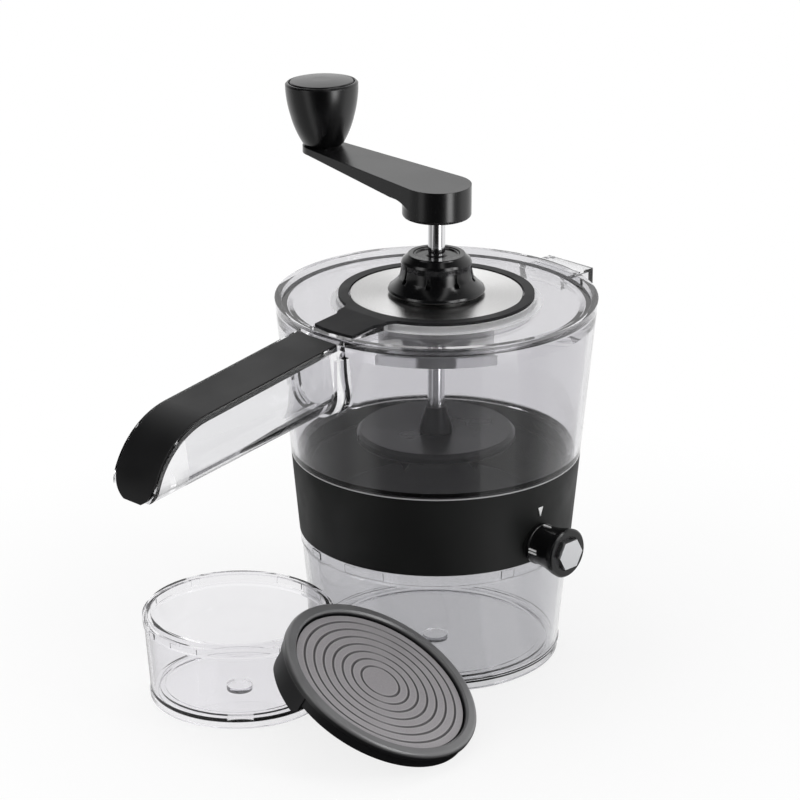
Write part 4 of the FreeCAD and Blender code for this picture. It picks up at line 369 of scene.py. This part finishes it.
FINISHES = {
    "catch_container": "clear_base",
    "cutter_housing": "band",
    "blade_deck": "funnel",
    "deck_screws": "screw",
    "main_blade": "blade",
    "blade_screws": "screw",
    "pivot_cap": "funnel",
    "cap_screws": "screw",
    "selector_bush": "bearing",
    "detent_ball": "screw",
    "detent_spring": "screw",
    "pointer_mark": "white",
    "selector_bar": "dark_grey",
    "fine_comb": "blade",
    "medium_comb": "blade",
    "coarse_comb": "blade",
    "selector_knob": "knob",
    "selector_hex": "hex",
    "knob_screw": "screw",
    "selector_marks": "white",
    "vessel": "clear",
    "handle_grip": "soft",
    "lid": "clear_lid",
    "lid_trim": "trim",
    "lid_disc": "disc",
    "hub_cover": "smoke",
    "grip_collar": "gloss",
    "collar_nut": "band",
    "guide_sleeve": "crank",
    "sleeve_clip": "blade",
    "spindle_shaft": "shaft",
    "crank_arm": "crank",
    "knob_pin": "shaft",
    "crank_knob": "knob",
    "knob_cap": "crank",
    "pusher_disc": "pusher",
    "pusher_screw": "screw",
    "storage_bowl": "clear_small",
    "storage_lid": "storage",
    "storage_lid_insert": "insert",
}

for node_name, finish in FINISHES.items():
    piece = NODES[node_name]
    piece.data.materials.clear()
    piece.data.materials.append(MATERIALS[finish])


# Studio: the photograph's camera, fitted to the rim, the band and the base, in metres
CAMERA_PLACE = Vector((-1.05213, -1.01615, 0.66764))
CAMERA_LOOK = Vector((0.66654, 0.65879, -0.34888))
TO_RIGHT = Vector((0.70170, -0.71246, 0.0))
TO_BACK = Vector((0.71246, 0.70170, 0.0))
MIDDLE = Vector((-0.03, 0.0, 0.12))

# What reflecting surfaces see round the object: degrees from the front toward the right, and a strength
FLOOR_RING = [
    (-180, 1.0), (-125, 0.9), (-104, 0.45), (-78, 0.4), (-66, 0.4), (-57, 0.9), (-48, 0.9),
    (-38, 0.15), (-20, 0.02), (0, 0.015), (15, 0.02), (30, 0.35), (38, 6.0), (48, 6.0),
    (57, 0.8), (66, 0.45), (78, 0.7), (88, 1.1), (125, 1.0), (180, 1.0),
]
SKY_RING = [
    (-180, 1.0), (-150, 1.0), (-130, 0.3), (-118, 0.04), (-64, 0.04), (-55, 0.9), (-46, 0.9),
    (-37, 0.05), (0, 0.015), (28, 0.05), (37, 4.5), (47, 4.5), (57, 0.35), (80, 0.3),
    (105, 1.0), (180, 1.0),
]
BRIGHTEST = 6.0

# The weakest surroundings that a ray sees once it has passed a clear wall
THROUGH_WALLS = 0.35

# The floor near the object reflects no brighter than this, out to the first radius; past the second it may
NEAR_LIMIT = 1.1
LIMIT_START = 0.35
LIMIT_END = 0.43

# The floor shows its own shadows inside the first radius and is plain white past the second
SHADOW_START = 0.10
SHADOW_END = 0.30

# Overhead, the surroundings fade to this share between two heights of the view direction
OVERHEAD = 0.32
FADE_START = 0.52
FADE_END = 0.80


def reflected_ring(shader, path, vector, strengths):
    """Strength of the surroundings in a direction, never quite dark through clear walls."""
    right = shader.dot(vector, TO_RIGHT)
    front = shader.maths("MULTIPLY", shader.dot(vector, TO_BACK), -1.0)
    angle = shader.maths("ARCTAN2", right, front)
    turn = shader.maths("ADD", shader.maths("DIVIDE", angle, 2 * math.pi), 0.5)
    ramp = shader.node("ShaderNodeValToRGB")
    stops = ramp.color_ramp.elements
    while len(stops) > 1:
        stops.remove(stops[0])
    for number, (degrees, strength) in enumerate(strengths):
        place = degrees / 360 + 0.5
        stop = stops[0] if number == 0 else stops.new(place)
        stop.position = place
        level = strength / BRIGHTEST
        stop.color = (level, level, level, 1.0)
    shader.link(turn, ramp.inputs["Fac"])
    lowest = shader.maths("MULTIPLY", path["Is Transmission Ray"], THROUGH_WALLS)
    return shader.maths("MAXIMUM", shader.maths("MULTIPLY", ramp.outputs["Color"], BRIGHTEST), lowest)


def reflected_only(shader, path):
    """1 for a reflected ray, also one that left the vessel again, and 0 for one only seen through it."""
    through = path["Is Transmission Ray"]
    outside = shader.maths("SUBTRACT", 1.0, through)
    straight = shader.maths("MULTIPLY", path["Is Glossy Ray"], outside)
    bounced = shader.maths("GREATER_THAN", path["Glossy Depth"], 0.5)
    walls = shader.maths("GREATER_THAN", path["Transmission Depth"], 3.5)
    inside = shader.maths("MULTIPLY", through, shader.maths("MULTIPLY", bounced, walls))
    return shader.maths("MAXIMUM", straight, inside)


def seen_directly(shader, path):
    """1 for a ray from the camera, also one that has passed clear walls."""
    return shader.maths("MAXIMUM", path["Is Camera Ray"], path["Is Transmission Ray"])


def floor_material():
    """White floor: it keeps soft shadows near the object and fades to plain white further out."""
    shader = Shader("floor_white")
    shader.set(Roughness=0.6, Specular_IOR_Level=0.2)
    shader.feed("Base Color", shader.mix_colour(shader.noise(12.0), (0.80, 0.80, 0.80), (0.83, 0.83, 0.83)))
    path = shader.node("ShaderNodeLightPath").outputs
    white = shader.node("ShaderNodeEmission", Color=(1.0, 1.0, 1.0, 1.0), Strength=1.0).outputs[0]
    radius = shader.radial()
    share = shader.maths("MULTIPLY", seen_directly(shader, path),
                         shader.ramp(radius, 0.80, 1.0, SHADOW_START, SHADOW_END))
    plain = shader.mix_shader(share, shader.bsdf.outputs[0], white)
    limit = shader.ramp(radius, NEAR_LIMIT, BRIGHTEST, LIMIT_START, LIMIT_END)
    strength = shader.maths("MINIMUM", reflected_ring(shader, path, shader.position(), FLOOR_RING), limit)
    ring = shader.node("ShaderNodeEmission")
    shader.link(strength, ring.inputs["Strength"])
    surface = shader.mix_shader(reflected_only(shader, path), plain, ring.outputs[0])
    shader.link(surface, shader.output.inputs["Surface"])
    return shader.material


def add_floor():
    """A wide floor, a little below the object's flat rest face."""
    size = 30.0
    mesh = bpy.data.meshes.new("floor")
    corners = [(-size, -size, 0.0), (size, -size, 0.0), (size, size, 0.0), (-size, size, 0.0)]
    mesh.from_pydata(corners, [], [(0, 1, 2, 3)])
    floor = bpy.data.objects.new("floor", mesh)
    floor.location.z = -0.0003
    floor.data.materials.append(floor_material())
    bpy.context.collection.objects.link(floor)


class WorldShader(Shader):
    """The same builder for the world's nodes."""

    def __init__(self, name):
        world = bpy.data.worlds.new(name)
        bpy.context.scene.world = world
        world.use_nodes = True
        self.tree = world.node_tree
        self.tree.nodes.clear()
        self.output = self.tree.nodes.new("ShaderNodeOutputWorld")

    def background(self, strength):
        """White light of a strength, given as a number or as another node's socket."""
        made = self.node("ShaderNodeBackground", Color=(1.0, 1.0, 1.0, 1.0))
        if isinstance(strength, (int, float)):
            made.inputs["Strength"].default_value = strength
        else:
            self.link(strength, made.inputs["Strength"])
        return made.outputs[0]


def add_world():
    """White behind the object, soft grey light on it, and a shaped ring of light in reflections."""
    sky = WorldShader("studio")
    path = sky.node("ShaderNodeLightPath").outputs
    direction = sky.node("ShaderNodeTexCoord").outputs["Generated"]
    height = sky.parts(direction)["Z"]
    high = sky.ramp(height, 1.0, OVERHEAD, FADE_START, FADE_END)
    ring = sky.background(sky.maths("MULTIPLY", reflected_ring(sky, path, direction, SKY_RING), high))
    plain = sky.mix_shader(seen_directly(sky, path), sky.background(0.55), sky.background(1.0))
    surface = sky.mix_shader(reflected_only(sky, path), plain, ring)
    sky.link(surface, sky.output.inputs["Surface"])


def from_camera(right, back, up):
    """A place given as the camera sees it: to the right, to the back and up, in metres."""
    return TO_RIGHT * right + TO_BACK * back + Vector((0.0, 0.0, up))


def add_lamp(name, place, size, power, height=None, reflected=True):
    """A square lamp, or one with a height of its own, that shines on the object's middle."""
    light = bpy.data.lights.new(name, "AREA")
    light.energy = power
    light.size = size
    if height:
        light.shape = "RECTANGLE"
        light.size_y = height
    lamp = bpy.data.objects.new(name, light)
    lamp.visible_glossy = reflected
    lamp.location = place
    lamp.rotation_euler = (MIDDLE - place).to_track_quat("-Z", "Y").to_euler()
    bpy.context.collection.objects.link(lamp)


def add_studio():
    add_floor()
    add_world()
    add_lamp("key", from_camera(1.6, -0.7, 1.3), 0.5, 14.0, height=1.6)
    add_lamp("fill", from_camera(-1.7, -0.9, 1.4), 0.9, 7.0, height=1.4)
    add_lamp("top", from_camera(0.0, 0.5, 2.0), 1.6, 12.0, reflected=False)


def add_camera():
    lens = bpy.data.cameras.new("camera")
    lens.sensor_width = 36.0
    lens.lens = 149.8
    lens.clip_start = 0.01
    lens.clip_end = 100.0
    camera = bpy.data.objects.new("camera", lens)
    camera.location = CAMERA_PLACE
    camera.rotation_euler = CAMERA_LOOK.to_track_quat("-Z", "Y").to_euler()
    bpy.context.collection.objects.link(camera)
    bpy.context.scene.camera = camera


add_studio()
add_camera()
bpy.context.scene.view_settings.view_transform = "Standard"
